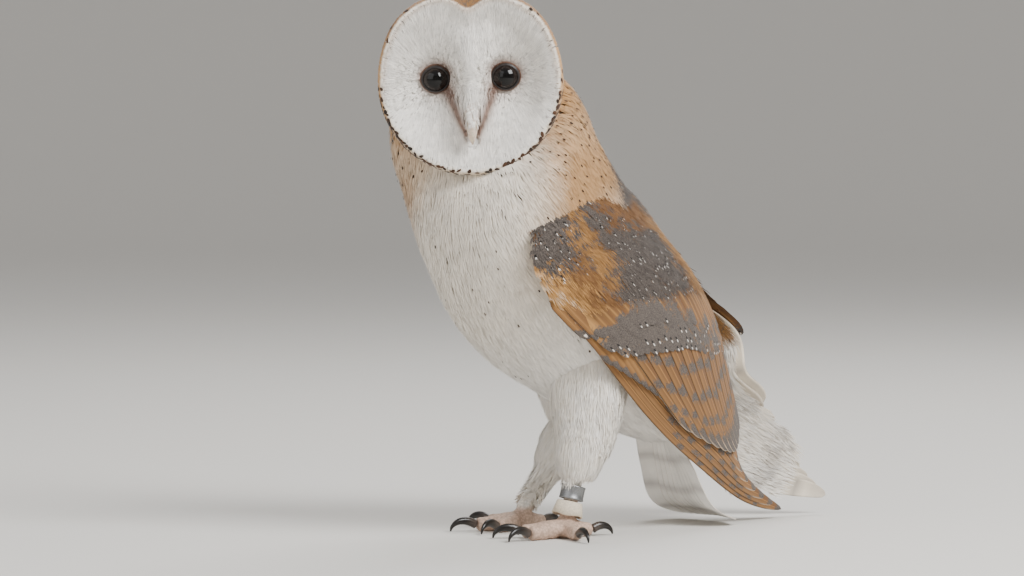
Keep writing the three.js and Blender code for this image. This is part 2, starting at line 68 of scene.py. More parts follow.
# Skull: how far behind the rim, half width, reach up and reach down.
SKULL = np.array([
    (7, 49, 49.5, 46), (20, 46.5, 49.5, 44), (34, 41.5, 46.5, 41),
    (47, 33, 38, 34), (57, 20, 24, 21), (61, 8, 10, 8), (62, 0, 0, 0),
], float)
EYE_RADIUS = 8.6
EYE_PLACE = (19.6, 4.4, -13.2)
LID_RADIUS = 7.3
SOCKET = -9.6
# Upper bill, from the point to the root: places down the face against how far forward its
# middle line lies, and against its girth; then how narrow it is for its depth.
BILL_LINE = ((-32.5, -28, -22, -15, -8), (2.4, 5.8, 7.4, 5, -1))
BILL_ROUND = ((-32.5, -28, -22, -15, -8), (0.4, 2.6, 4.0, 4.8, 5.4))
BILL_SQUEEZE = 0.82
LEAST_PACE = 0.5  # least pace of a surface in millimetres for each unit, near its poles
NEARBY = 1e-3  # the share of a curve over which its direction is taken

LEFT = {"side": 1, "hip": (21, 18, 118), "heel": (27, 9, 60), "ankle": (27, -3.5, 13)}
RIGHT = {"side": -1, "hip": (-21, 30, 118), "heel": (-26, 43, 60), "ankle": (-25, 3, 13)}
# Legs: stations as shares of the shank, the radius of the coat from hip to foot, and how much
# thinner the skin is.
LEG_STATIONS = (0.27, 0.5, 0.64, 1.04)
LEG_GIRTH = (22, 21.5, 16.5, 13.6, 9.6, 5.6, 5.2)
LEG_COAT = (3, 3, 2.6, 2.4, 2.0, 1.2, 0.6)
# Toes: bearing outwards from straight ahead, length, girth at the root and at the tip.
TOES = {
    "inner": (radians(-22), 25, 5.4, 3.9), "middle": (radians(10), 28, 5.6, 4.0),
    "outer": (radians(74), 23, 5.2, 3.8), "hind": (radians(172), 17, 5.2, 3.9),
}
TOE_HEIGHT = 4.2
PAD_RADIUS = 7.8
CLAW_GIRTH = (2.6, 2.4, 1.9, 1.2, 0.45)
CLAW_RISE, CLAW_ARC = radians(30), radians(118)
CLAW_CLEAR = 0.7  # height of the middle of a claw's point over the floor
# Ring and cuff on the left shank: inner radius, wall, height and place as a share of the shank.
RING = {"inner": 6.1, "wall": 0.9, "tall": 8, "along": 0.74}
CUFF = {"inner": 5.7, "wall": 1.1, "tall": 8, "flare": 1.6, "along": 0.93}

# Folded wings from shoulder to tip: points of both edges, and how far the wing bows outwards.
LEFT_WING = {
    "side": 1,
    "leading": [
        (36, -32, 190), (56, -52, 169), (59, -51, 152), (60, -36, 130), (57, -8, 106),
        (47, 38, 66), (36, 77, 38), (21, 124, 13), (8, 168, 1.2),
    ],
    "trailing": [
        (22, -8, 204), (23, 36, 198), (7, 77, 169), (5, 104, 140), (5, 117, 112),
        (5, 124, 88), (6, 131, 60), (7, 137, 33), (8, 172, 5),
    ],
    "bow": [5, 17, 23, 24, 19, 11, 6, 3, 1],
}
RIGHT_WING = {
    "side": -1,
    "leading": [
        (-36, -24, 190), (-56, -38, 168), (-61, -36, 147), (-61, -24, 122), (-59, 0, 101),
        (-49, 44, 75), (-36, 88, 50), (-22, 132, 26), (-10, 172, 6), (0, 206, 4),
    ],
    "trailing": [
        (-22, -4, 204), (-23, 38, 198), (-7, 79, 170), (-5, 106, 144), (-4, 124, 124),
        (-4, 141, 106), (-4, 144, 84), (-4, 164, 68), (-3, 187, 46), (1, 209, 14),
    ],
    "bow": [5, 15, 21, 22, 18, 12, 8, 5, 3, 1],
}
# Tail from root to tip: its middle line, its half width, and the rise of its arch.
TAIL_LINE = [(0, 66, 78), (0, 77, 56), (0, 87, 34), (0, 99, 12), (0, 125, 1.4)]
TAIL_HALF = [14, 22, 28, 30, 27]
TAIL_ARCH = 6
COAT_DEPTH = 4.2
VOXEL = 1.5  # finer ones would take the skin past its budget of triangles
SMOOTHINGS = 4
SKIN_SAMPLE = 24000  # points of the skin that stand for it when roots are chosen
SCALE_MM = 1.5
TANGENT_STEP = 2e-3  # the share of a surface over which its tangents are taken

# ---------------------------------------------------------------- arithmetic


def unit(vectors):
    """Each vector over its own length."""
    return vectors / np.maximum(np.linalg.norm(vectors, axis=-1, keepdims=True), 1e-12)


def smooth(x, low, high):
    """Rises from 0 at low to 1 at high, level at both ends."""
    t = np.clip((x - low) / (high - low), 0, 1)
    return t * t * (3 - 2 * t)


def bell(x, middle, width):
    """1 at middle, falling off on both sides as a Gaussian of this width does."""
    return np.exp(-(((x - middle) / width) ** 2))


def lerp(a, b, t):
    """a at t=0, b at t=1, in proportion between."""
    return a + (b - a) * t


def between(x, low, high, soft):
    """1 from low to high and 0 outside them, with soft ends."""
    return smooth(x, low - soft, low + soft) * (1 - smooth(x, high - soft, high + soft))


def through(stations, t):
    """A uniform Catmull-Rom curve through the stations, read at t from 0 to 1."""
    p = np.asarray(stations, float)
    p = p[:, None] if p.ndim == 1 else p
    padded = np.concatenate([[2 * p[0] - p[1]], p, [2 * p[-1] - p[-2]]])
    x = np.clip(np.asarray(t, float), 0, 1) * (len(p) - 1)
    i = np.minimum(x.astype(int), len(p) - 2)
    w = (x - i)[..., None]
    before, a, b, after = (padded[i + n] for n in range(4))
    leave, arrive = (b - before) / 2, (after - a) / 2
    return a + leave * w + (3 * (b - a) - 2 * leave - arrive) * w**2 + (
        2 * (a - b) + leave + arrive
    ) * w**3


def way_along(stations, t):
    """The direction of the curve at t."""
    ahead, behind = (through(stations, np.clip(t + step, 0, 1)) for step in (NEARBY, -NEARBY))
    return unit(ahead - behind)


def nearest(points, cloud):
    """For each point, the number of the closest point of a cloud."""
    found = np.empty(len(points), int)
    size = (cloud**2).sum(1)
    for start in range(0, len(points), 4000):
        part = points[start:start + 4000]
        found[start:start + 4000] = np.argmin(size - 2 * part @ cloud.T, axis=1)
    return found


def srgb(code):
    """Linear RGB of an sRGB hex colour."""
    c = np.array([int(code[i:i + 2], 16) / 255 for i in (1, 3, 5)])
    return np.where(c <= 0.04045, c / 12.92, ((c + 0.055) / 1.055) ** 2.4)


def dye(base, paint, weight):
    """Each colour of base moved towards paint by its weight."""
    return base + (paint - base) * np.clip(np.asarray(weight), 0, 1)[..., None]


WHITE = srgb("#f4f0e9")
CREAM = srgb("#efe3cf")
BUFF = srgb("#b8894f")
GOLD = srgb("#7b5530")
GREY = srgb("#8d8581")
BROWN = srgb("#5a3a24")
RUST = srgb("#8a5536")
DARK = srgb("#241a14")
TOE_SKIN = srgb("#c9ab97")

# ---------------------------------------------------------------- surfaces of the bird

facing = np.array((sin(FACE_TURN), -cos(FACE_TURN), 0.0))
level = np.cross(facing, (0, 0, 1.0))
face_up = np.array((0, 0, 1.0)) * cos(FACE_ROLL) + level * sin(FACE_ROLL)
face_left = np.cross(face_up, facing)


def on_face(x, y, forward):
    """A place given from the centre of the face: to its left, up it, and forward of it."""
    x, y, forward = (np.asarray(c, float)[..., None] for c in (x, y, forward))
    return FACE_CENTRE + x * face_left + y * face_up + forward * facing


def turn_at(t):
    """How far the body's section at t is turned with the head."""
    return np.radians(through(SPINE[:, 5], t)[..., 0])


def body(t, a, sink=0.0):
    """Skin of neck and trunk: a superellipse of bearing a in the plane square to the spine at t."""
    section = through(SPINE, t)
    along = way_along(SPINE[:, :2], t)
    b = a - np.radians(section[..., 5])
    out = np.where(np.sin(b) > 0, section[..., 4], section[..., 3])
    n = BODY_ROUNDNESS
    r = (np.abs(np.cos(b)) / section[..., 2]) ** n + (np.abs(np.sin(b)) / out) ** n
    r = r ** (-1 / n) - sink
    lift = r * np.sin(a)
    return np.stack([
        r * np.cos(a), section[..., 0] + lift * along[..., 1],
        section[..., 1] - lift * along[..., 0],
    ], -1)


def disc_radius(a, notched=1.0):
    """Heart-shaped rim of the face: a lobe either side of a notch at the top."""
    from_top = np.abs(np.mod(a + pi / 2, tau) - pi)
    lobe = bell(from_top, radians(42), radians(24))
    notch = np.exp(-((from_top / radians(12)) ** 2))
    return 49.2 + 2 * np.sin(a) + 2.8 * lobe - 9 * notch * notched


def disc_share(x, y):
    """How far out a place on the face is, as a share of the rim in its direction."""
    return np.hypot(x, y) / disc_radius(np.arctan2(y, x))


def face_forward(x, y):
    """The facial disc: a dish round each eye, with a ridge between them from brow to bill."""
    dish = np.exp(-(((np.abs(x) - 21) / 17) ** 2) - ((y - 2) / 24) ** 2)
    wide = lerp(10.5, 6.5, np.clip((4 - y) / 28, -0.3, 1.2))
    ridge = np.exp(-((x / wide) ** 2)) * (1 - smooth(y, 10, 40)) * smooth(y, -25, -16)
    rim = smooth(1 - disc_share(x, y), 0, 0.3)
    return (9 * ridge - 9 * dish * (1 - ridge) - 2.5) * rim


def socketed(x, y):
    """The disc let down round each eye, so that the lids lie open all round."""
    from_eye = np.hypot(np.abs(x) - EYE_PLACE[0], y - EYE_PLACE[1])
    return lerp(SOCKET, face_forward(x, y), smooth(from_eye, 8.3, 13.5))


def dressed(x, y):
    """The disc under its filaments: let down round the eyes, and laid over the root of the bill."""
    middle = np.interp(y, *BILL_LINE)
    girth = np.interp(y, *BILL_ROUND)
    ridge = middle + np.sqrt(np.maximum(girth**2 - (x / BILL_SQUEEZE) ** 2, 0)) + 0.8
    on_bill = (np.abs(x) < BILL_SQUEEZE * girth) & (y < -10) & (y > -29)
    forward = socketed(x, y)
    return on_face(x, y, np.where(on_bill, np.maximum(forward, ridge), forward))


def nape(x, y):
    """The back of the head as seen from behind: a height over the plane of the face that falls
    away as an ellipse does."""
    stretch = np.where(y > 0, 1.14, 1.0)
    q = np.minimum((x**2 + (y / stretch) ** 2) / 47.0**2, 0.999)
    return on_face(x, y, -62 + 52.7 * (1 - np.sqrt(1 - q)))


def skull(s, a, sink=0.0):
    """Back of the head: rings that run from the rim of the face at s=0 to the pole at s=1."""
    rim = disc_radius(a, 1 - smooth(s, 0, 0.16))
    x, y = rim * np.cos(a), rim * np.sin(a)
    rings = np.concatenate([[(0, 49.4, 50, 47)], SKULL])
    back, side, up, down = np.moveaxis(through(rings, s), -1, 0)
    tall = np.where(np.sin(a) > 0, up, down)
    round_x, round_y = side * np.cos(a), tall * np.sin(a)
    w = smooth(s, 0, 0.4)
    scale = 1 - sink / 50
    return on_face(lerp(x, round_x, w) * scale, lerp(y, round_y, w) * scale, sink * 0.6 - back)


def limb_path(leg):
    """Stations from hip to heel and down the shank."""
    hip, heel, ankle = (np.array(leg[n], float) for n in ("hip", "heel", "ankle"))
    return np.array([hip, (hip + heel) / 2, heel] + [lerp(heel, ankle, s) for s in LEG_STATIONS])


def round_path(path, girth, aside, t, a, squeeze=1.0):
    """A tube: a circle of the girth at t, square to the path, with one axis held near aside."""
    line = through(path, t)
    along = way_along(path, t)
    above = unit(np.cross(along, np.asarray(aside, float)))
    across = unit(np.cross(above, along))
    r = through(girth, t)
    return line + across * np.cos(a)[..., None] * r * squeeze + above * np.sin(a)[..., None] * r


def limb(leg, sink=0.0):
    """The leg as a tube, for t from hip to foot and a round it."""
    path = limb_path(leg)
    girth = np.array(LEG_GIRTH, float) - sink
    return lambda t, a: round_path(path, girth, (1, 0, 0), t, a)


def wing_outward(wing, t):
    """The direction square to both edges of a wing, away from the body."""
    lead = through(wing["leading"], t)
    trail = through(wing["trailing"], t)
    tc = np.minimum(t, 0.97)
    down = through(wing["leading"], tc + NEARBY) - through(wing["leading"], tc - NEARBY)
    out = unit(np.cross(trail - lead, down))
    return np.where(out[..., :1] * wing["side"] < 0, -out, out)


def wing_sheet(wing):
    """A folded wing: from the leading edge to the trailing edge, bowed outwards by a parabola."""
    def at(t, v):
        lead, trail = through(wing["leading"], t), through(wing["trailing"], t)
        bow = through(wing["bow"], t) * (4 * v * (1 - v))[..., None]
        return lerp(lead, trail, v[..., None]) + wing_outward(wing, t) * bow
    return at


def tail_sheet(i, v):
    """The folded fan of the tail: straight across but for a low arch, sloping to the floor."""
    half = through(TAIL_HALF, i)[..., 0]
    line = through(TAIL_LINE, i)
    along = way_along(TAIL_LINE, i)
    fold = TAIL_ARCH * (1 - v * v) * (1 - 0.8 * i)
    return line + np.stack([half * v, -along[..., 2] * fold, along[..., 1] * fold], -1)


def slopes(surface, u, v, step=TANGENT_STEP):
    """The two tangents of a surface, in millimetres for each unit of u and of v."""
    du = (surface(u + step, v) - surface(u - step, v)) / (2 * step)
    dv = (surface(u, v + step) - surface(u, v - step)) / (2 * step)
    return du, dv


def off(surface, side, u, v, height, step=TANGENT_STEP):
    """Points held at a height over a surface, on the side that its sign gives."""
    du, dv = slopes(surface, u, v, step)
    return surface(u, v) + unit(np.cross(du, dv)) * side * height[..., None]


def height_over(points, cloud, normals):
    """How far each point stands over the nearest point of a cloud, how far beside it, and the
    normal there."""
    i = nearest(points, cloud)
    apart = points - cloud[i]
    over = (apart * normals[i]).sum(-1)
    return over, np.sqrt(np.maximum((apart**2).sum(-1) - over**2, 0)), normals[i]


def cloud_of(surface, side, u, v, step=TANGENT_STEP):
    """Points and outward normals of a surface on a grid."""
    u, v = (c.ravel() for c in np.meshgrid(u, v, indexing="ij"))
    du, dv = slopes(surface, u, v, step)
    return surface(u, v), unit(np.cross(du, dv)) * side


def way_out(cloud, middle):
    """The sign, 1 or -1, that turns the normals of a cloud away from its middle."""
    points, normals = cloud
    return 1 if ((points - middle) * normals).sum() > 0 else -1


def ring_grid(stations, sides, low=0.0, high=1.0):
    """Stations from low to high along a tube, by bearings once round it."""
    bearings = np.linspace(0, tau, sides, endpoint=False)
    return np.meshgrid(np.linspace(low, high, stations), bearings, indexing="ij")

# ---------------------------------------------------------------- meshes


eye_low, eye_high = (np.array(corner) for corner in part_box("eye_left"))
SHIFT = (eye_low + eye_high) / 2 / MM - on_face(*EYE_PLACE)


def mesh_piece(name, points, quads, material, tris=None, paint=None, maps=None):
    """A mesh from arrays: points in millimetres, quads and triangles of point numbers, values
    for each point and UV maps for each point."""
    tris = np.zeros((0, 3), int) if tris is None else np.asarray(tris)
    quads = np.asarray(quads).reshape(-1, 4)
    corners = np.concatenate([quads.ravel(), tris.ravel()]).astype(np.int32)
    starts = np.concatenate([np.arange(len(quads)) * 4, len(quads) * 4 + np.arange(len(tris)) * 3])
    mesh = bpy.data.meshes.new(name)
    mesh.vertices.add(len(points))
    mesh.vertices.foreach_set("co", ((points + SHIFT) * MM).astype(np.float32).ravel())
    mesh.loops.add(len(corners))
    mesh.loops.foreach_set("vertex_index", corners)
    mesh.polygons.add(len(starts))
    mesh.polygons.foreach_set("loop_start", starts.astype(np.int32))
    mesh.polygons.foreach_set("use_smooth", np.ones(len(starts), bool))
    for key, values in (paint or {}).items():
        add_values(mesh, key, values)
    for key, values in (maps or {}).items():
        layer = mesh.uv_layers.new(name=key)
        layer.data.foreach_set("uv", values[corners].astype(np.float32).ravel())
    mesh.update()
    mesh.validate()
    made = bpy.data.objects.new(name, mesh)
    bpy.context.scene.collection.objects.link(made)
    if material:
        mesh.materials.append(material)
    return made


def add_values(mesh, key, values):
    """A value or a colour for each point of a mesh."""
    values = np.asarray(values, float)
    if values.ndim == 2:
        layer = mesh.color_attributes.new(name=key, type="FLOAT_COLOR", domain="POINT")
        full = np.concatenate([values, np.ones((len(values), 1))], 1)
        layer.data.foreach_set("color", full.astype(np.float32).ravel())
    else:
        layer = mesh.attributes.new(name=key, type="FLOAT", domain="POINT")
        layer.data.foreach_set("value", values.astype(np.float32))


def grid_faces(rows, columns, closed=False):
    """Quads of a grid of points; closed joins the last column to the first."""
    i, j = np.meshgrid(np.arange(rows - 1), np.arange(columns - (not closed)), indexing="ij")
    a = i * columns + j
    b = i * columns + (j + 1) % columns
    return np.stack([a, b, b + columns, a + columns], -1).reshape(-1, 4)


def sleeve(rings):
    """A closed skin through rings of points: quads round it and a fan on each end's middle."""
    rows, n = rings.shape[:2]
    quads = grid_faces(rows, n, closed=True)
    j = np.arange(n)
    last = (rows - 1) * n
    low, high = rows * n, rows * n + 1
    caps = np.concatenate([
        np.stack([np.full(n, low), (j + 1) % n, j], -1),
        np.stack([np.full(n, high), last + j, last + (j + 1) % n], -1),
    ])
    ends = np.stack([rings[0].mean(0), rings[-1].mean(0)])
    return np.concatenate([rings.reshape(-1, 3), ends]), quads, caps


def outward(points, quads, tris):
    """The same closed mesh with its faces pointing out, judged by the sign of its volume."""
    corners = np.concatenate([tris, quads[:, :3], quads[:, [0, 2, 3]]])
    a, b, c = (points[corners[:, n]] for n in range(3))
    if (a * np.cross(b, c)).sum() < 0:
        return points, quads[:, ::-1], tris[:, ::-1]
    return points, quads, tris


def joined(parts):
    """Several meshes as one: points and faces one after the other."""
    points, quads, tris, start = [], [], [], 0
    for p, q, t in parts:
        points.append(p)
        quads.append(q + start)
        tris.append(t + start)
        start += len(p)
    return np.concatenate(points), np.concatenate(quads), np.concatenate(tris)


def tube(path, girth, aside, steps, sides, squeeze=1.0):
    """A closed tube along a path."""
    return outward(*sleeve(round_path(path, girth, aside, *ring_grid(steps + 1, sides), squeeze)))

# ---------------------------------------------------------------- materials


def add(tree, kind, inputs=None, **settings):
    """Adds a node with its settings, and sets or links its inputs."""
    made = tree.nodes.new(kind)
    for key, value in settings.items():
        setattr(made, key, value)
    for key, value in (inputs or {}).items():
        if isinstance(value, bpy.types.NodeSocket):
            tree.links.new(value, made.inputs[key])
        else:
            made.inputs[key].default_value = value
    return made


def finish_named(name, roughness, **constants):
    """A material with one Principled surface, its constants set on its sockets."""
    material = bpy.data.materials.new(name)
    material.use_nodes = True
    tree = material.node_tree
    shader = tree.nodes["Principled BSDF"]
    shader.inputs["Roughness"].default_value = roughness
    for key, value in constants.items():
        shader.inputs[key.replace("_", " ")].default_value = value
    return material, tree, shader


def rgba(colour):
    """A colour with full opacity, as a socket takes it."""
    return (*[float(c) for c in colour], 1.0)


def plumage(name, vane=False, sheen=0.25):
    """Keratin barbs, soft and dull. The tint of each feather is carried by its points; grey parts
    break into a fine pepper and salt, and a vane has its barbs and its pair of drops."""
    material, tree, shader = finish_named(name, 0.72, Sheen_Weight=sheen, Sheen_Roughness=0.5)
    shader.inputs["Specular IOR Level"].default_value = 0.25
    coords = add(tree, "ShaderNodeTexCoord").outputs["Object"]
    tint = add(tree, "ShaderNodeAttribute", attribute_name="tint").outputs["Color"]
    grey = add(tree, "ShaderNodeAttribute", attribute_name="grey").outputs["Fac"]
    fine, patchy, broad = (
        add(tree, "ShaderNodeTexNoise", {
            "Vector": coords, "Scale": 1 / (size * MM), "Detail": detail,
        }).outputs["Fac"] for size, detail in ((0.5, 3.0), (1.6, 2.0), (7.0, 3.0))
    )
    pepper = add(tree, "ShaderNodeMapRange", {0: fine, 1: 0.3, 2: 0.7})
    salt = add(tree, "ShaderNodeMix", {
        0: pepper.outputs[0], 6: rgba(srgb("#332e2c")), 7: rgba(srgb("#71675f")),
    }, data_type="RGBA")
    ragged = add(tree, "ShaderNodeMath", {0: patchy, 1: 0.5}, operation="SUBTRACT")
    edge = add(tree, "ShaderNodeMath", {
        0: ragged.outputs[0], 1: 1.2, 2: grey,
    }, operation="MULTIPLY_ADD")
    mask = add(tree, "ShaderNodeMapRange", {0: edge.outputs[0], 1: 0.35, 2: 0.65})
    colour = add(tree, "ShaderNodeMix", {
        0: mask.outputs[0], 6: tint, 7: salt.outputs[2],
    }, data_type="RGBA")
    if vane:
        colour = drops(tree, colour)
        barbs(tree, shader)
    cloud = add(tree, "ShaderNodeMapRange", {0: broad, 3: 0.86, 4: 1.1})
    shade = add(tree, "ShaderNodeMix", {
        0: 1.0, 6: colour.outputs[2], 7: cloud.outputs[0],
    }, data_type="RGBA", blend_type="MULTIPLY")
    tree.links.new(shade.outputs[2], shader.inputs["Base Color"])
    return material


def drops(tree, colour):
    """A black drop and, nearer the tip, a white one, on the line of the shaft."""
    flag = add(tree, "ShaderNodeAttribute", attribute_name="spot").outputs["Fac"]
    vane = add(tree, "ShaderNodeUVMap", uv_map="vane").outputs["UV"]
    for middle, size, paint in (
        ((0, 2.6, 0), (0.8, 0.85, 1), "#120e0c"), ((0, 1.15, 0), (0.52, 0.8, 1), "#e9e3da"),
    ):
        apart = add(tree, "ShaderNodeVectorMath", {0: vane, 1: middle}, operation="SUBTRACT")
        scaled = add(tree, "ShaderNodeVectorMath", {0: apart.outputs[0], 1: size}, operation="DIVIDE")
        far = add(tree, "ShaderNodeVectorMath", {0: scaled.outputs[0]}, operation="LENGTH")
        inside = add(tree, "ShaderNodeMapRange", {0: far.outputs["Value"], 1: 1.15, 2: 0.75})
        weight = add(tree, "ShaderNodeMath", {0: inside.outputs[0], 1: flag}, operation="MULTIPLY")
        colour = add(tree, "ShaderNodeMix", {
            0: weight.outputs[0], 6: colour.outputs[2], 7: rgba(srgb(paint)),
        }, data_type="RGBA")
    return colour


BARB_PITCH_MM = 0.9  # real barbs stand closer; drawn this coarse so that they show
BARB_SLANT = 1.1


def barbs(tree, shader):
    """Fine ridges that slant back from the shaft to the edges, as a low bump."""
    vane = add(tree, "ShaderNodeUVMap", uv_map="vane").outputs["UV"]
    apart = add(tree, "ShaderNodeSeparateXYZ", {0: vane})
    aside = add(tree, "ShaderNodeMath", {0: apart.outputs[0]}, operation="ABSOLUTE")
    slant = add(tree, "ShaderNodeMath", {
        0: aside.outputs[0], 1: BARB_SLANT, 2: apart.outputs[1],
    }, operation="MULTIPLY_ADD")
    phase = add(tree, "ShaderNodeMath", {
        0: slant.outputs[0], 1: tau / BARB_PITCH_MM,
    }, operation="MULTIPLY")
    ridge = add(tree, "ShaderNodeMath", {0: phase.outputs[0]}, operation="SINE")
    bump = add(tree, "ShaderNodeBump", {
        "Height": ridge.outputs[0], "Strength": 0.35, "Distance": 0.12 * MM,
    })
    tree.links.new(bump.outputs[0], shader.inputs["Normal"])


soft_plumage = plumage("soft_down_and_contour_plumage")
vane_plumage = plumage("smooth_vaned_plumage", vane=True, sheen=0.12)


def skin_material():
    """Bare skin of the feet, pink beige with low pebbled scales; dull under the plumage."""
    material, tree, shader = finish_named("scaled_foot_and_body_skin", 0.62)
    coords = add(tree, "ShaderNodeTexCoord").outputs["Object"]
    tint = add(tree, "ShaderNodeAttribute", attribute_name="tint").outputs["Color"]
    cells = add(tree, "ShaderNodeTexVoronoi", {"Vector": coords, "Scale": 1 / (SCALE_MM * MM)})
    crack = add(tree, "ShaderNodeMapRange", {
        0: cells.outputs["Distance"], 1: 0.2, 2: 0.75, 3: 1.05, 4: 0.72,
    })
    colour = add(tree, "ShaderNodeMix", {
        0: 1.0, 6: tint, 7: crack.outputs[0],
    }, data_type="RGBA", blend_type="MULTIPLY")
    bump = add(tree, "ShaderNodeBump", {
        "Height": cells.outputs["Distance"], "Strength": 0.5, "Distance": -0.35 * MM,
    })
    tree.links.new(colour.outputs[2], shader.inputs["Base Color"])
    tree.links.new(bump.outputs[0], shader.inputs["Normal"])
    return material


def tinted(name, roughness, grain_mm, depth_mm, **constants):
    """A material whose colour is carried by its points, with a fine grain."""
    material, tree, shader = finish_named(name, roughness, **constants)
    coords = add(tree, "ShaderNodeTexCoord").outputs["Object"]
    tint = add(tree, "ShaderNodeAttribute", attribute_name="tint").outputs["Color"]
    grain = add(tree, "ShaderNodeTexNoise", {
        "Vector": coords, "Scale": 1 / (grain_mm * MM), "Detail": 4.0,
    }).outputs["Fac"]
    shade = add(tree, "ShaderNodeMapRange", {0: grain, 1: 0.3, 2: 0.7, 3: 0.82, 4: 1.12})
    colour = add(tree, "ShaderNodeMix", {
        0: 1.0, 6: tint, 7: shade.outputs[0],
    }, data_type="RGBA", blend_type="MULTIPLY")
    bump = add(tree, "ShaderNodeBump", {"Height": grain, "Strength": 0.4, "Distance": depth_mm * MM})
    tree.links.new(colour.outputs[2], shader.inputs["Base Color"])
    tree.links.new(bump.outputs[0], shader.inputs["Normal"])
    return material


# Wet cornea over an almost black iris: a hard clear gloss with small bright lights.
eye_material = tinted("wet_cornea_over_dark_iris", 0.04, 4.0, 0.0, IOR=1.376)
# Lid edge: thin dark skin, slightly moist.
lid_material = tinted("dark_lid_skin", 0.45, 0.8, 0.1)
# Bill: smooth horn, ivory to pink, with a soft shine.
bill_material = tinted("ivory_horn_of_the_bill", 0.38, 1.2, 0.04, Subsurface_Weight=0.1)
# Claws: dark polished horn with fine lines of growth.
claw_material = tinted("dark_polished_claw_horn", 0.28, 0.9, 0.05)
# Ring: rolled aluminium, dulled and scratched by wear.
ring_material = tinted("worn_rolled_aluminium", 0.42, 0.7, 0.08, Metallic=1.0)
# Cuff: thin pale leather with a soft nap.
cuff_material = tinted("thin_pale_leather", 0.78, 0.9, 0.12)

# ---------------------------------------------------------------- how feathers are laid

rng = np.random.default_rng(7)
markings = {"points": [], "tint": []}  # roots and colours of the feathers that dye the skin


def lock_plan(strands, steps):
    """A tuft: strips side by side. For each vertex, how far along it is, its strip's place from
    -1 to 1 and the side of the strip it is on; and the quads."""
    place, k, edge = np.meshgrid(
        np.linspace(-1, 1, strands), np.linspace(0, 1, steps + 1), (-1, 1), indexing="ij"
    )
    strip = grid_faces(steps + 1, 2)
    faces = (strip + np.arange(strands)[:, None, None] * (steps + 1) * 2).reshape(-1, 4)
    return SimpleNamespace(
        k=k.ravel(), place=place.ravel(), edge=edge.ravel(), strands=strands, faces=faces,
        upper_face=0,
        strand=np.repeat(np.arange(strands), (steps + 1) * 2),
    )


def vane_plan(rows, columns):
    """One flat vane: a grid along and across, finer towards the tip."""
    k, place = np.meshgrid(
        1 - (1 - np.linspace(0, 1, rows + 1)) ** 1.5, np.linspace(-1, 1, columns + 1), indexing="ij"
    )
    return SimpleNamespace(
        k=k.ravel(), place=place.ravel(), edge=np.zeros(k.size), strands=0,
        faces=grid_faces(rows + 1, columns + 1), upper_face=0,
    )


def rooted(surface, u_range, v_range, row_mm, across_mm, jitter=0.35):
    """Roots in staggered rows a set distance apart, each moved a little by chance."""
    us, vs = [], []
    u, row = u_range[0], 0
    spread = np.linspace(*v_range, 25)
    wide = v_range[1] - v_range[0]
    while u < u_range[1]:
        du, dv = slopes(surface, np.full(len(spread), u), spread)
        length = np.linalg.norm(dv, axis=-1).mean() * wide
        n = max(int(length / across_mm), 2)
        v = (np.arange(n) + 0.5 * (row % 2) + 0.25) / n * wide + v_range[0]
        pace = row_mm / np.linalg.norm(du, axis=-1).mean()
        us.append(u + rng.uniform(-jitter, jitter, n) * pace)
        vs.append(v + rng.uniform(-jitter, jitter, n) * wide / n)
        u += pace
        row += 1
    return np.concatenate(us), np.concatenate(vs)


def share(x):
    """Each value's place between the least and the greatest, from 0 to 1."""
    return (x - x.min()) / max(np.ptp(x), 1e-9)


def rounded_end(k, start, power):
    """1 up to start, then down to 0 at k=1 as a superellipse of this power does."""
    fall = 1 - (np.clip(k - start, 0, 1) / (1 - start)) ** power
    return np.where(k > start, fall, 1) ** (1 / power)


def feather_piece(name, points, plan, turned, tint, grey, spot, maps, material):
    """All the feathers as one mesh, its faces turned the way that turned points."""
    n, count = points.shape[:2]
    faces = (plan.faces + np.arange(n)[:, None, None] * count).reshape(-1, 4)
    first = plan.faces[plan.upper_face]
    lean = np.cross(
        points[:, first[1]] - points[:, first[0]], points[:, first[3]] - points[:, first[0]]
    )[:, None]
    if (turned * lean).sum() < 0:
        faces = faces[:, ::-1]
    values = {
        "tint": tint.reshape(-1, 3),
        "grey": np.broadcast_to(grey, (n, count)).ravel(),
        "spot": np.repeat(np.broadcast_to(spot, n), count).astype(float),
    }
    made = mesh_piece(name, points.reshape(-1, 3), faces, material, paint=values, maps=maps)
    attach(made, "root")
    return made


LOCK_SPREAD = 0.35  # how wide a tuft is at its root, as a share of its width
WANDER = 0.35  # how far a loose strand strays, as a share of half the width
UNEVEN = 0.08  # how unequal in length the strands of a tuft are
FEATHER_SHADES, STRAND_SHADES = 0.035, 0.03  # how unequal in brightness they are
VANE_NECK = 0.45  # the same for a vane
ROOT_PATCH = 0.003  # how much of the UV map one small feather takes
LEAST_HEIGHT = 0.15
MARK_HEIGHT = 1.2  # over the surface, so that the skin takes the colour of the nearest coat


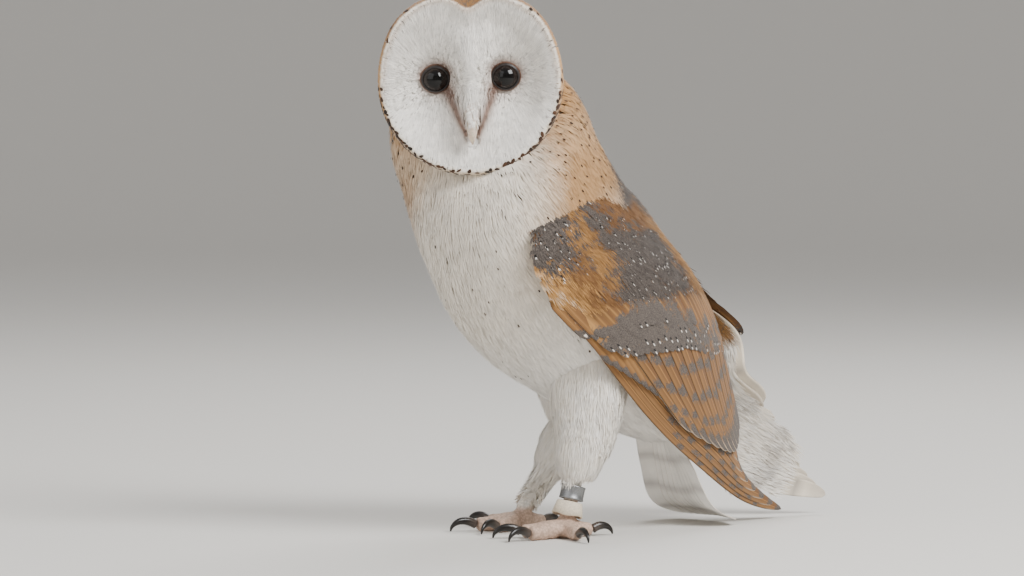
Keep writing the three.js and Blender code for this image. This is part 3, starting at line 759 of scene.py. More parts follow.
def lay(name, surface, side, roots, heading, plan, length, width, tints, *, lift=(0.3, 2.0),
        strand_mm=1.0, rounding=0.25, camber=0.5, loose=0.4, grey=0.0, spot=0.0, cell=(0, 0, 1, 1),
        material=soft_plumage, step=TANGENT_STEP, tint_of=None, grey_of=None, mottle=1.0,
        dyes_skin=True):
    """Feathers laid on a surface. A point that is d along and w across a feather lies on the
    surface d ahead of the root and w beside it, held off it by a height that rises from lift[0]
    at the root to lift[1] at the tip. tints has a colour for each root, tint_of and grey_of give
    one for each point. cell is the coat's part of the UV map: left, bottom, width, height."""
    u, v = roots
    n = len(u)
    length, width = (np.broadcast_to(x, n)[:, None] for x in (length, width))
    du, dv = slopes(surface, u, v, step)
    mm_u, mm_v = (np.maximum(np.linalg.norm(d, axis=-1), LEAST_PACE)[:, None] for d in (du, dv))
    ahead_u, ahead_v = (np.broadcast_to(h, n)[:, None] for h in heading)
    size = np.hypot(ahead_u, ahead_v)
    ahead_u, ahead_v = ahead_u / size, ahead_v / size
    k, place, edge = plan.k[None], plan.place[None], plan.edge[None]
    if plan.strands:
        wander, bounce, short = (
            rng.normal(0, 1, (n, plan.strands))[:, plan.strand] for _ in range(3)
        )
        along = length * k * (1 - rounding * place**2 + UNEVEN * short)
        spread = LOCK_SPREAD + (1 - LOCK_SPREAD) * k**0.8
        across = width / 2 * (place * spread + loose * WANDER * wander * k) + edge * strand_mm / 2 * (
            1 - 0.8 * k**1.5
        )
        height = lerp(lift[0], lift[1], np.sin(k * pi / 2)) * (1 + loose * 0.5 * bounce * k)
        height = height - camber * place**2 * (1 - k)
    else:
        full = rounded_end(k, 0.5, 2.6) * lerp(VANE_NECK, 1, smooth(k, 0, 0.35))
        along = length * k
        across = width / 2 * place * full
        height = lerp(lift[0], lift[1], k) + camber * (1 - place**2) * full
        height = height + rng.normal(0, 0.15 * loose, (n, 1)) * k
    pu = u[:, None] + along * ahead_u / mm_u - across * ahead_v / mm_u
    pv = v[:, None] + along * ahead_v / mm_v + across * ahead_u / mm_v
    points = off(surface, side, pu, pv, np.maximum(height, LEAST_HEIGHT), step)
    if dyes_skin:
        markings["points"].append(off(surface, side, u, v, np.full(n, MARK_HEIGHT), step))
        markings["tint"].append(tints)
    shade = 1 + rng.normal(0, FEATHER_SHADES * mottle, (n, 1, 1))
    if plan.strands:
        of_strand = rng.normal(0, STRAND_SHADES * mottle, (n, plan.strands, 1))
        shade = shade + of_strand[:, plan.strand]
    shape = points.shape[:2]
    where = SimpleNamespace(k=k, place=place, u=pu, v=pv)
    tint = np.broadcast_to(tints[:, None], points.shape)
    tint = tint_of(where, tint) if tint_of else tint
    grey = grey_of(where) if grey_of else np.asarray(grey, float).reshape(-1, 1)
    low, wide = np.array(cell[:2]), np.array(cell[2:])
    root_map = low + wide * np.stack([share(u), share(v)], -1)
    patch = ROOT_PATCH * np.stack(
        [np.broadcast_to(place * 0.5, shape), np.broadcast_to(k - 0.5, shape)], -1
    )
    maps = {
        "OFBake": (root_map[:, None] + patch).reshape(-1, 2),
        "vane": np.stack([across, length * (1 - k)], -1).reshape(-1, 2),
    }
    turned = np.cross(du, dv)[:, None] * side
    return feather_piece(name, points, plan, turned, tint * shade, grey, spot, maps, material)

# ---------------------------------------------------------------- where the body's coat grows


left_sheet, right_sheet = wing_sheet(LEFT_WING), wing_sheet(RIGHT_WING)
WING_SIDES = {}
for wing, sheet in ((LEFT_WING, left_sheet), (RIGHT_WING, right_sheet)):
    du, dv = slopes(sheet, np.array([0.3]), np.array([0.5]))
    WING_SIDES[wing["side"]] = 1 if np.cross(du, dv)[0, 0] * wing["side"] > 0 else -1

turns = np.linspace(0, tau, 61)
skull_cloud = cloud_of(skull, 1, np.linspace(0.01, 0.97, 30), turns)
SKULL_SIDE = way_out(skull_cloud, on_face(0, 0, -25))
skull_cloud = (skull_cloud[0], skull_cloud[1] * SKULL_SIDE)
nape_cloud = cloud_of(nape, 1, np.arange(-20, 21, 5.0), np.arange(-20, 21, 5.0), 0.2)
NAPE_SIDE = way_out(nape_cloud, nape_cloud[0] + facing)
body_cloud = cloud_of(body, 1, np.linspace(0.02, 0.98, 60), turns)
BODY_SIDE = way_out(body_cloud, body_cloud[0] * (0, 1, 1))
body_cloud = (body_cloud[0], body_cloud[1] * BODY_SIDE)
wing_clouds = [
    cloud_of(sheet, WING_SIDES[side], np.linspace(0, 0.5, 40), np.linspace(0, 1, 30))
    for sheet, side in ((left_sheet, 1), (right_sheet, -1))
]

# ---------------------------------------------------------------- skin


def closed_grid(surface, u, v):
    """A surface that closes on itself in v, with its ends filled."""
    return outward(*sleeve(surface(*np.meshgrid(u, v, indexing="ij"))))


def slab(sheet, side, u, v, top, bottom):
    """A closed plate between two heights over a sheet."""
    u, v = np.meshgrid(u, v, indexing="ij")
    upper, lower = (off(sheet, side, u, v, np.full(u.shape, z)) for z in (top, bottom))
    return outward(*sleeve(np.concatenate([upper, lower[:, ::-1]], axis=1)))


def tucked_body(t, a):
    """The body sunk by the coat's depth, and drawn in where a wing lies over it."""
    points = body(t, a, COAT_DEPTH)
    flat = points.reshape(-1, 3)
    for cloud in wing_clouds:
        over, beside, out = height_over(flat, *cloud)
        pull = np.maximum(over + 5, 0) * (1 - smooth(beside, 2, 9))
        flat = flat - out * pull[:, None]
    return flat.reshape(points.shape)


def head_core():
    """The head as a closed shell: the face sunk under its filaments, the skull under its tufts."""
    a = np.linspace(0, tau, 64, endpoint=False)
    shares = np.array([0.06, 0.17, 0.28, 0.39, 0.5, 0.6, 0.7, 0.8, 0.9, 0.96])
    s, bearing = np.meshgrid(shares, a, indexing="ij")
    r = disc_radius(bearing) * s
    x, y = r * np.cos(bearing), r * np.sin(bearing)
    front = on_face(x, y, socketed(x, y) - 1.2)
    back = skull(*np.meshgrid(np.linspace(0.03, 0.97, 16), a, indexing="ij"), 3.0)
    return outward(*sleeve(np.concatenate([front, back])))


def toe_line(leg, bearing, height=0.0):
    """Where the toes of a foot meet, and the way that one of them points."""
    start = np.array((leg["ankle"][0], leg["ankle"][1] - 2.0, height))
    return start, np.array((leg["side"] * sin(bearing), -cos(bearing), 0.0))


def toe_tube(leg, toe):
    """A toe: a tube along the floor, with low pads across its under side."""
    bearing, length, root, tip = toe
    start, ahead = toe_line(leg, bearing)
    stations = ((0, TOE_HEIGHT + 1), (0.36, TOE_HEIGHT + 1), (0.7, TOE_HEIGHT), (1, TOE_HEIGHT))
    path = np.array([start + ahead * s * length + (0, 0, z) for s, z in stations])
    girth = np.array((root, root - 0.4, tip + 0.5, tip))
    t, a = ring_grid(33, 20)
    pads = 1 + 0.07 * np.sin(t * pi * 7) * (np.sin(a) < 0.5)
    rings = round_path(path, girth, np.cross((0, 0, 1), ahead), t, a)
    middle = through(path, t)
    return outward(*sleeve(middle + (rings - middle) * pads[..., None]))


def melted_skin():
    """One skin: body, head, legs, feet and wing roots as closed shells, melted into one."""
    a = np.linspace(0, tau, 48, endpoint=False)
    parts = [closed_grid(tucked_body, np.linspace(0, 1, 50), a), head_core()]
    for leg in (LEFT, RIGHT):
        girth = np.array(LEG_GIRTH, float) - np.array(LEG_COAT)
        rings = round_path(limb_path(leg), girth, (1, 0, 0), *ring_grid(40, 28))
        parts.append(outward(*sleeve(rings)))
        parts += [toe_tube(leg, toe) for toe in TOES.values()]
        pole, a = ring_grid(14, 24, 0.02, 0.98)
        centre = np.array((leg["ankle"][0], leg["ankle"][1] - 1.0, TOE_HEIGHT))
        r = np.sin(pole * pi)
        pad = np.stack([r * np.cos(a), r * np.sin(a), np.cos(pole * pi)], -1)
        parts.append(outward(*sleeve(centre + PAD_RADIUS * pad)))
    for sheet, side in ((left_sheet, 1), (right_sheet, -1)):
        down, across = np.linspace(0.01, 0.43, 24), np.linspace(0.06, 0.97, 24)
        parts.append(slab(sheet, WING_SIDES[side], down, across, 0.2, -3.4))
    points, quads, tris = joined(parts)
    rough = mesh_piece("skin_rough", points, quads, None, tris=tris)
    remesh = rough.modifiers.new("melt", "REMESH")
    remesh.mode = "VOXEL"
    remesh.voxel_size = VOXEL * MM
    soften = rough.modifiers.new("soften", "SMOOTH")
    soften.factor, soften.iterations = 0.5, SMOOTHINGS
    evaluated = rough.evaluated_get(bpy.context.evaluated_depsgraph_get())
    mesh = bpy.data.meshes.new_from_object(evaluated)
    bpy.data.objects.remove(rough)
    co = np.empty(len(mesh.vertices) * 3, np.float32)
    mesh.vertices.foreach_get("co", co)
    co = co.reshape(-1, 3) / MM - SHIFT
    co[:, 2] = np.maximum(co[:, 2], 0)
    mesh.vertices.foreach_set("co", ((co + SHIFT) * MM).astype(np.float32).ravel())
    normals = np.empty(co.size, np.float32)
    mesh.vertex_normals.foreach_get("vector", normals)
    return mesh, co, normals.reshape(-1, 3)


skin_mesh, skin_points, skin_normals = melted_skin()
sample = np.random.default_rng(3).permutation(len(skin_points))[:SKIN_SAMPLE]
skin_cloud = (skin_points[sample].astype(float), skin_normals[sample].astype(float))

# ---------------------------------------------------------------- where the coat grows


def inside(points, cloud, depth=1.5):
    """Whether a point lies deeper than this under the surface that a cloud stands for."""
    over, beside, _ = height_over(points, *cloud)
    return (over < -depth) & (beside < 4 - over)


WING_COVERS = (-14, 0.6)  # heights over a wing's sheet between which the body has no coat
WING_BESIDE = 1.2


def under_wing(points):
    """Whether a point of the body lies under a wing."""
    hidden = np.zeros(len(points), bool)
    for cloud in wing_clouds:
        over, aside, _ = height_over(points, *cloud)
        hidden |= (over > WING_COVERS[0]) & (over < WING_COVERS[1]) & (aside < WING_BESIDE)
    return hidden


def shows(points, least):
    """Whether a point stands at least so far over the skin, and clear of the wings."""
    over, _, _ = height_over(points, *skin_cloud)
    return (over > least) & ~under_wing(points)


def off_head(points, least):
    """Whether a point stands at least so far over the skull, or is away from it."""
    over, beside, _ = height_over(points, *skull_cloud)
    return (over > least) | (beside > 5)


def headed(surface, u, v, flow, step=TANGENT_STEP):
    """The heading in u and v of a direction in space laid on a surface."""
    du, dv = slopes(surface, u, v, step)
    return (flow * unit(du)).sum(-1), (flow * unit(dv)).sum(-1)

# ---------------------------------------------------------------- coats of the body


def height_on_head(points):
    """Where a point is on the head: about -1 under the chin, 1 on the crown, more to the back."""
    from_middle = points - on_face(0, 0, -20)
    return (from_middle @ face_up) / 45 + np.maximum(-(from_middle @ facing), 0) / 90


def skull_tint(up):
    """Cream under the chin, buff at the sides, golden on the crown; up runs from -1 to 1."""
    tint = dye(CREAM, BUFF, 0.3 + 0.65 * smooth(up, -1.0, -0.1))
    return dye(tint, GOLD, 0.75 * smooth(up, 0.25, 0.85))


def body_tint(t, a):
    """White below, buff up the sides of the neck and breast, golden over nape and back."""
    up = np.sin(a - turn_at(t))
    tint = dye(WHITE, CREAM, 0.55 * smooth(t, 0.3, 0.5))
    low = lerp(-0.8, -0.97, smooth(np.cos(a), -0.2, 0.4))
    side_buff = smooth(up, low, low + 0.55) * smooth(t, 0.44, 0.6)
    tint = dye(tint, BUFF, 0.92 * side_buff)
    tint = dye(tint, GOLD, 0.75 * smooth(up, 0.2, 0.75) * smooth(t, 0.12, 0.3))
    by_head = smooth(t, 0.68, 0.84) * smooth(up, -0.8, -0.4)
    return lerp(tint, skull_tint(height_on_head(body(t, a))), by_head[..., None])


def body_grey(t, a):
    """Grey veil over the back between the wings, and a light one on the crown."""
    up = np.sin(a - turn_at(t))
    back = smooth(up, 0.25, 0.6) * smooth(t, 0.1, 0.22) * (1 - smooth(t, 0.6, 0.68))
    return back * 0.9 + 0.32 * smooth(up, 0.55, 0.9) * smooth(t, 0.75, 0.85)


def body_coats():
    """Soft tufts all over but the back between the wings, where vanes lie in rows."""
    made = []
    u, v = rooted(body, (0.02, 0.95), (0, tau), 3.7, 3.3)
    keep = shows(body(u, v), 0.2) & off_head(body(u, v), -1.4)
    u, v = u[keep], v[keep]
    up = np.sin(v - turn_at(u))
    mantle = (up > 0.3) & (u < 0.62)
    front = ~mantle & (up < -0.05) & (u < 0.72)
    for name, mask, length, width, lift, cell in (
        ("coat_breast_and_belly", front, 13, 6.5, (0.5, 2.2), (0, 0, 0.3, 0.4)),
        ("coat_neck_and_nape", ~mantle & ~front, 9.5, 5.5, (0.4, 1.8), (0.32, 0, 0.3, 0.4)),
    ):
        ru, rv = u[mask], v[mask]
        made.append(lay(
            name, body, BODY_SIDE, (ru, rv), (-1, rng.normal(0, 0.1, len(ru))), lock_plan(8, 4),
            length * rng.uniform(0.85, 1.15 + 0.7 * (ru < 0.2), len(ru)), width, body_tint(ru, rv),
            lift=lift, strand_mm=1.0, loose=0.3, grey=body_grey(ru, rv), cell=cell,
        ))
    mu, mv = rooted(body, (0.08, 0.68), (0, tau), 3.6, 3.4)
    keep = (np.sin(mv - turn_at(mu)) > 0.2) & shows(body(mu, mv), 1.2)
    mu, mv = mu[keep], mv[keep]
    grey = np.clip(body_grey(mu, mv) + rng.normal(0, 0.15, len(mu)), 0, 1)
    made.append(lay(
        "coat_mantle", body, BODY_SIDE, (mu, mv), (-1, rng.normal(0, 0.08, len(mu))),
        lock_plan(8, 4), 12, 8, body_tint(mu, mv), lift=(0.5, 2.4), strand_mm=1.2, loose=0.3,
        grey=grey, spot=(rng.uniform(size=len(mu)) < 0.35) * smooth(grey, 0.3, 0.6),
        cell=(0.64, 0, 0.3, 0.4), material=vane_plumage,
    ))
    return made


def dots_on(name, surface, side, roots, heading, chance, cell):
    """Small dark vanes over the coat, clear of the skull's tufts, each with its own chance."""
    keep = shows(surface(*roots), 1.2) & (rng.uniform(size=len(roots[0])) < chance)
    if surface is body:
        keep &= off_head(surface(*roots), 3.5)
    u, v = roots[0][keep], roots[1][keep]
    tint = dye(DARK, BROWN, rng.uniform(0, 0.5, len(u)))
    return lay(
        name, surface, side, (u, v), heading, vane_plan(4, 2), rng.uniform(1.3, 2.0, len(u)),
        rng.uniform(0.8, 1.25, len(u)), tint, lift=(2.1, 2.5), camber=0.2, cell=cell,
        dyes_skin=False,
    )


def dark_dots():
    """Small dark dots, sparse on the breast and the belly, thicker on the sides of the neck."""
    u, v = rooted(body, (0.2, 0.82), (0, tau), 6.8, 6.0, jitter=0.5)
    up = np.sin(v - turn_at(u))
    chance = lerp(0.05, 0.75, smooth(up, -0.85, -0.3) * smooth(u, 0.4, 0.5)) * (up < 0.6)
    s, a = rooted(skull, (0.25, 0.5), (-0.8, 0.4), 8, 7, jitter=0.5)
    return (
        dots_on("coat_dark_dots", body, BODY_SIDE, (u, v), (-1, 0), chance, (0.64, 0.54, 0.3, 0.1)),
        dots_on("coat_dark_dots_of_head", skull, SKULL_SIDE, (s, a), (1, 0), 0.75,
                (0.64, 0.66, 0.1, 0.03)),
    )


def skull_coats():
    """Soft tufts that run back from the face and turn down over the nape, thicker in the notch
    of the crown."""
    s, a = rooted(skull, (0.03, 0.56), (0, tau), 3.0, 2.9)
    notch_s, notch_a = rooted(skull, (0.004, 0.12), (pi / 2 - 0.3, pi / 2 + 0.3), 1.5, 1.6)
    s, a = np.concatenate([s, notch_s]), np.concatenate([a, notch_a])
    keep = shows(skull(s, a), -0.5)
    s, a = s[keep], a[keep]
    down = (0.15 + 0.75 * smooth(s, 0.15, 0.55)) * (1 - smooth(np.sin(a), 0.5, 0.9))
    flow = -facing * (1 - down)[:, None] - face_up * down[:, None]
    x, y = (c.ravel() for c in np.meshgrid(np.arange(-38, 39, 3.1), np.arange(-40, 44, 3.1)))
    x, y = x + rng.uniform(-1, 1, len(x)), y + rng.uniform(-1, 1, len(y))
    keep = (np.hypot(x, y / 1.1) < 38) & shows(nape(x, y), 0.0)
    x, y = x[keep], y[keep]
    back = -face_up - face_left * (x / 60)[:, None]
    low = (face_left * back).sum(-1), (face_up * back).sum(-1)
    made = []
    for name, surface, side, roots, heading, step, cell in (
        ("coat_crown", skull, SKULL_SIDE, (s, a), headed(skull, s, a, flow), TANGENT_STEP,
         (0, 0.42, 0.3, 0.2)),
        ("coat_back_of_head", nape, NAPE_SIDE, (x, y), low, 0.2, (0, 0.63, 0.2, 0.06)),
    ):
        up = height_on_head(surface(*roots))
        crown = smooth(up, 0.3, 0.8)
        made.append(lay(
            name, surface, side, roots, heading, lock_plan(7, 3), 7.0, 5.0, skull_tint(up),
            lift=(0.3, 1.0), strand_mm=0.9, loose=0.25, cell=cell, step=step,
            grey=np.clip(0.36 * crown + rng.normal(0, 0.08, len(up)) * crown, 0, 1),
        ))
    return made


def face_heading(x, y):
    """Filaments run out from the nearer eye; on the ridge they run up the brow or down to the
    bill."""
    hx, hy = np.zeros_like(x), np.zeros_like(y)
    for side in (1, -1):
        ax, ay = x - side * EYE_PLACE[0], y - EYE_PLACE[1]
        far = np.hypot(ax, ay)
        weight = np.exp(-far / 9)
        hx += ax / far * weight
        hy += ay / far * weight
    bridge = (1 - smooth(np.abs(x), 3, 7)) * (1 - smooth(y, -8, 4)) * smooth(y, -32, -27)
    hx *= lerp(1, smooth(np.abs(x), 1, 11), 1 - smooth(y, -12, 0))
    return hx * (1 - bridge), lerp(hy, -0.1, bridge)


def face_tint(x, y):
    """White, with a rusty streak from each eye's inner corner to the bill, a tan shade round the
    eye and a buff edge."""
    aside = np.abs(x)
    start, end = np.array((12.5, -2.5)), np.array((2.6, -30.0))
    way = end - start
    s = np.clip(((aside - start[0]) * way[0] + (y - start[1]) * way[1]) / (way @ way), 0, 1)
    far = np.hypot(aside - start[0] - s * way[0], y - start[1] - s * way[1])
    tint = dye(WHITE, RUST, 0.5 * bell(far, 0, lerp(5.0, 1.9, s)))
    tint = dye(tint, RUST * 0.6, 0.7 * bell(far, 0, lerp(2.4, 1.0, s)))
    round_eye = np.hypot(aside - EYE_PLACE[0], y - EYE_PLACE[1])
    around = np.arctan2(y - EYE_PLACE[1], aside - EYE_PLACE[0])
    corner = bell(around, 0.5, 0.8) + bell(around, 2.3, 0.7)
    tint = dye(tint, RUST, np.clip(0.3 + 0.35 * corner, 0, 1) * bell(round_eye, 8.0, 3.2))
    rim = smooth(disc_share(x, y), 0.93, 1.0)
    return dye(tint, BUFF, 0.35 * rim * smooth(y, -20, 20))


FILAMENT_PACE = 1.75
FILAMENT_ROWS = 66  # enough to cover the disc, 116 mm across


def face_coat():
    """Fine filaments on the disc, on staggered rows, shorter near the eyes, bill and rim."""
    n = FILAMENT_ROWS
    gx, gy = np.meshgrid(np.arange(n), np.arange(n), indexing="ij")
    x = ((gx + 0.5 * (gy % 2)) * FILAMENT_PACE - 55).ravel() + rng.uniform(-0.8, 0.8, n * n)
    y = (gy * FILAMENT_PACE * 0.9 - 52).ravel() + rng.uniform(-0.8, 0.8, n * n)
    from_eye = np.hypot(np.abs(x) - EYE_PLACE[0], y - EYE_PLACE[1])
    on_bill = (np.abs(x) < 3.6) & (y < -21.5) & (y > -34)
    keep = (disc_share(x, y) < 0.965) & (from_eye > 8.2) & ~on_bill
    x, y, from_eye = x[keep], y[keep], from_eye[keep]
    length = np.clip(2.2 + 0.3 * (from_eye - 7), 2.2, 7.5)
    length = np.minimum(length, np.maximum((1.005 - disc_share(x, y)) * 49, 1.6))
    length = np.where((np.abs(x) < 5) & (y < -8) & (y > -27), 3.0, length)
    return lay(
        "coat_facial_disc", dressed, 1, (x, y), face_heading(x, y), lock_plan(5, 3),
        length, np.clip(length * 0.6, 1.8, 3.2), face_tint(x, y),
        lift=(0.25, np.where(y < -8, 0.6, 1.3)[:, None]),
        strand_mm=0.5, camber=0.1, loose=0.5, cell=(0.32, 0.42, 0.3, 0.25), step=0.2, mottle=2.0,
        tint_of=lambda where, tint: face_tint(where.u, where.v),
    )


def ruff_surface(s, a):
    """The edge of the disc: from the rim it rolls outwards and back over the skull."""
    r = disc_radius(a) - 1.2 + 3.0 * np.sin(np.clip(s, -0.2, 1.3) * pi * 0.5)
    forward = 0.1 + 0.9 * np.sin(np.clip(s, 0, 1) * pi) - 5.5 * s**2
    return on_face(r * np.cos(a), r * np.sin(a), forward)


def ruff_coat():
    """Short stiff feathers round the face, which take the head's colour behind the rim, and one
    broken row of dark beads: close along the lower edge, thin under the bill and few above."""
    cloud = cloud_of(ruff_surface, 1, np.linspace(0.1, 0.9, 5), turns)
    way = way_out(cloud, on_face(0, 0, -20))
    u, v = rooted(ruff_surface, (0.0, 0.8), (0, tau), 1.8, 1.4, jitter=0.2)
    tint = dye(WHITE, CREAM, rng.uniform(0.2, 0.8, len(v)))

    def tint_of(where, tint):
        of_head = skull_tint(height_on_head(ruff_surface(where.u, where.v)))
        return lerp(tint, of_head, smooth(where.u, 0.28, 0.5)[..., None])

    ruff = lay(
        "coat_ruff", ruff_surface, way, (u, v), (1, rng.normal(0, 0.2, len(u))), vane_plan(3, 2),
        3.2, 1.8, tint, lift=(0.3, 0.75), camber=0.15, cell=(0.64, 0.42, 0.3, 0.1),
        tint_of=tint_of,
    )
    u, v = rooted(ruff_surface, (0.4, 0.66), (0, tau), 1.2, 2.1, jitter=0.3)
    chin = bell(np.mod(v, tau), 1.5 * pi + 0.05, 0.14)
    notch = bell(np.mod(v, tau), 0.5 * pi, 0.35)
    upper = 0.12 * smooth(np.sin(v), 0.3, 0.7) * (1 - notch)
    chance = smooth(-np.sin(v), -0.15, 0.25) * (1 - 0.75 * chin) + upper
    keep = rng.uniform(size=len(v)) < 0.86 * chance
    u, v = u[keep], v[keep]
    tint = dye(DARK, BROWN, rng.uniform(0, 0.7, len(v)))
    beads = lay(
        "coat_ruff_beads", ruff_surface, way, (u, v), (rng.normal(0, 0.25, len(u)), 1),
        vane_plan(4, 2), rng.uniform(1.8, 3.2, len(u)), rng.uniform(0.8, 1.5, len(u)), tint,
        lift=(0.9, 1.1), camber=0.2, cell=(0.64, 0.53, 0.3, 0.01), dyes_skin=False,
    )
    return ruff, beads


BARE_SHANK = 13  # the height up to which the right leg has no coat
RING_HALF = 4.5  # half the height of the ring with a little clearance


def limb_coat(name, leg, cell):
    """Tufts down a leg, shorter towards the foot; on the left leg they end above the ring."""
    surface = limb(leg)
    stations = np.linspace(0.1, 0.9, 8)
    cloud = cloud_of(surface, 1, stations, turns)
    way = way_out(cloud, through(limb_path(leg), np.repeat(stations, len(turns))))
    u, v = rooted(surface, (0.04, 0.965), (0, tau), 2.9, 2.7)
    points = surface(u, v)
    heel, ankle = (np.array(leg[end], float) for end in ("heel", "ankle"))
    ring_top = lerp(heel, ankle, RING["along"])[2] + RING_HALF
    ringed = leg["side"] > 0
    keep = ~inside(points, body_cloud, 3.0)
    keep &= points[:, 2] > (ring_top + 3.8 if ringed else BARE_SHANK)
    u, v = u[keep], v[keep]
    low = smooth(u, 0.55, 0.9)
    length = lerp(12.0, 4.2, low)
    if ringed:
        length = np.minimum(length, points[keep][:, 2] - ring_top - 0.8)
    tint = dye(WHITE, CREAM, rng.uniform(0, 0.5, len(u)))
    return lay(
        name, surface, way, (u, v), (1, rng.normal(0, 0.12, len(u))), lock_plan(7, 4), length,
        lerp(5.5, 3.0, low), tint, lift=(0.4, 2.0), strand_mm=0.8, loose=0.45, cell=cell,
    )

# ---------------------------------------------------------------- wings and tail


def wing_tone(t, v):
    """How grey the coverts are: a patch on the shoulder, a strip that widens into a large patch
    in the middle of the wing, the edge by the back and grey tips on the last row, on gold."""
    t = t + 0.012 * np.sin(31 * v + 2) + 0.008 * np.sin(57 * v)
    v = v + 0.02 * np.sin(41 * t) + 0.012 * np.sin(83 * t + 1)
    shoulder = (1 - smooth(t, 0.22, 0.3)) * (1 - smooth(v, 0.2, 0.27)) * smooth(v, 0.01, 0.04)
    start = 0.25 + 0.65 * t - 1.4 * np.maximum(t - 0.2, 0)
    end = 0.31 + 0.85 * t + 1.6 * smooth(t, 0.12, 0.3) * 0.15
    strip = smooth(v, start - 0.03, start + 0.03) * (1 - smooth(v, end, end + 0.07))
    middle = smooth(v, start - 0.03, start + 0.04) * (1 - smooth(v, 0.72, 0.82))
    middle = middle * smooth(t, 0.17, 0.24)
    lower = 1 - smooth(t, 0.44, 0.54)
    back = smooth(v, 0.84, 0.92) * (1 - smooth(t, 0.16, 0.24))
    tips = 0.35 * between(t, 0.43, 0.5, 0.02) * (1 - smooth(v, 0.4, 0.6))
    lit = between(t, 0.4, 0.48, 0.02) * bell(v, 0.68, 0.14)
    strip = 0.85 * strip * (1 - smooth(t, 0.2, 0.3))
    return np.clip(shoulder + strip + middle * (lower - lit) + back + tips, 0, 1)


def wing_gold(t, v):
    """The gold under the grey: paler along the edges, white on the leading edge itself."""
    tint = dye(GOLD, BUFF, 0.9 * between(t, 0.2, 0.42, 0.05) * bell(v, 0.88, 0.08))
    tint = dye(tint, BUFF, 0.5 * bell(v, 0.28, 0.06) * between(t, 0.1, 0.36, 0.04))
    tint = dye(tint, BUFF, 0.9 * (1 - smooth(v, 0.08, 0.16)) * smooth(t, 0.18, 0.28))
    return dye(tint, CREAM, 0.3 * (1 - smooth(v, 0.01, 0.05)) * smooth(t, 0.24, 0.32))


def covert_coats(word, wing, sheet, cell):
    """Small soft coverts over the shoulder and the middle of the wing and, below them, two rows
    of broader vanes."""
    side = WING_SIDES[wing["side"]]
    made = []
    for part, rows, spacing, plan, size, lift, loose, high in (
        ("lesser", (0.0, 0.48), (3.3, 3.1), lock_plan(8, 4), (10.5, 6.5), (0.3, 1.7), 0.3, 0.0),
        ("greater", (0.375, 0.445), (6.5, 5.4), vane_plan(9, 8), (19, 10), (0.6, 3.0), 0.4, 0.06),
    ):
        broad = high > 0
        u, v = rooted(sheet, rows, (0.0, 1.0), *spacing, jitter=0.25)
        keep = (v < 1.0) & (v > (0.06 if broad else 0.022))
        keep &= broad | (u < np.where(v < 0.1, 0.43, 0.42))
        u, v = u[keep], v[keep]
        longer = 1 + high * 6 * smooth(v, 0.3, 0.8)
        own = rng.normal(0, 0.14, (len(u), 1))
        fringe = rng.uniform(0, 0.75, (len(u), 1)) + broad * 0.45
        edge = lerp(0.55, 1, smooth(v, 0.0, 0.12))
        toned = smooth(wing_tone(u + 0.03, v), 0.3, 0.6)
        dropped = rng.uniform(size=len(u)) < (0.75 if broad else 0.36)
        spots = dropped * np.maximum(toned, 0.9 * (u > 0.4))
        stray = rng.normal(0, (0.016, 0.03), (len(u), 2))

        def tint_of(where, tint):
            tint = wing_gold(where.u + stray[:, :1], where.v + stray[:, 1:])
            # painted shade: each covert is darker towards its base, where the row above covers it
            tint = tint * lerp(0.6, 1, smooth(where.k, 0.1, 0.75))[..., None]
            tint = tint * (1 + 0.5 * own)[..., None]
            if broad:
                # painted shade: the broad vanes darken towards both edges, where their neighbours
                # overlap them
                tint = dye(tint, BROWN, 0.55 * smooth(np.abs(where.place), 0.5, 1.0))
                tint = dye(tint, BUFF, 0.5 * bell(where.place, 0, 0.16))
            return dye(tint, CREAM, high * 5 * smooth(where.k, 0.93, 1.0))

        def grey_of(where):
            tips = fringe * smooth(where.k, 0.55, 0.9)
            tips = tips * (0.35 + high * 10 * smooth(where.u, 0.36, 0.42))
            tone = wing_tone(where.u + stray[:, :1], where.v + stray[:, 1:])
            tone = tone * lerp(1, smooth(where.k, 0.1, 0.8), 0.5 * broad)
            return np.clip(tone * (0.9 + own) + tips, 0, 1)

        made.append(lay(
            f"coat_wing_{word}_{part}_coverts", sheet, side, (u, v), (1, 0.1), plan,
            size[0] * edge * longer * (1 + 0.35 * smooth(u, 0.15, 0.35)),
            size[1] * lerp(0.8, 1, edge), wing_gold(u, v), lift=lift, camber=0.5,
            strand_mm=1.15, loose=loose, spot=spots, cell=cell, material=vane_plumage,
            tint_of=tint_of, grey_of=grey_of,
        ))
    return made


def wing_lining(word, wing, sheet, cell):
    """Feathers on the wing's inner face: white with faint bars, golden where they meet the back."""
    side = WING_SIDES[wing["side"]]
    u, v = rooted(sheet, (0.0, 0.88), (0.05, 0.98), 4.2, 3.8, jitter=0.25)
    lead, trail = lerp(0.05, 0.12, smooth(u, 0.5, 0.6)), lerp(0.98, 0.88, smooth(u, 0.5, 0.85))
    keep = (v > lead) & (v < trail)
    u, v = u[keep], v[keep]
    tint = dye(WHITE, CREAM, rng.uniform(0, 0.6, len(u)))
    smudge = bell(np.mod(u * 9 + rng.normal(0, 0.1, len(u)), 1), 0.5, 0.16) * smooth(u, 0.55, 0.65)
    tint = dye(tint, GREY * 0.7, 0.45 * smudge)
    by_back = smooth(v, 0.4, 0.75) * (1 - smooth(u, 0.5, 0.56))
    tint = dye(tint, dye(wing_gold(u, v), BUFF, 0.4), by_back)
    far = smooth(u, 0.48, 0.62)[:, None]
    return lay(
        f"coat_wing_{word}_lining", sheet, -side, (u, v), (1, 0.12), lock_plan(7, 4), 12,
        lerp(5, 8, smooth(v, 0.07, 0.2)), tint, lift=(lerp(1.0, 3.0, far), lerp(2.6, 4.2, far)),
        strand_mm=1.2, loose=0.3, cell=cell, grey=0.35 * by_back * smooth(v, 0.8, 0.95),
    )


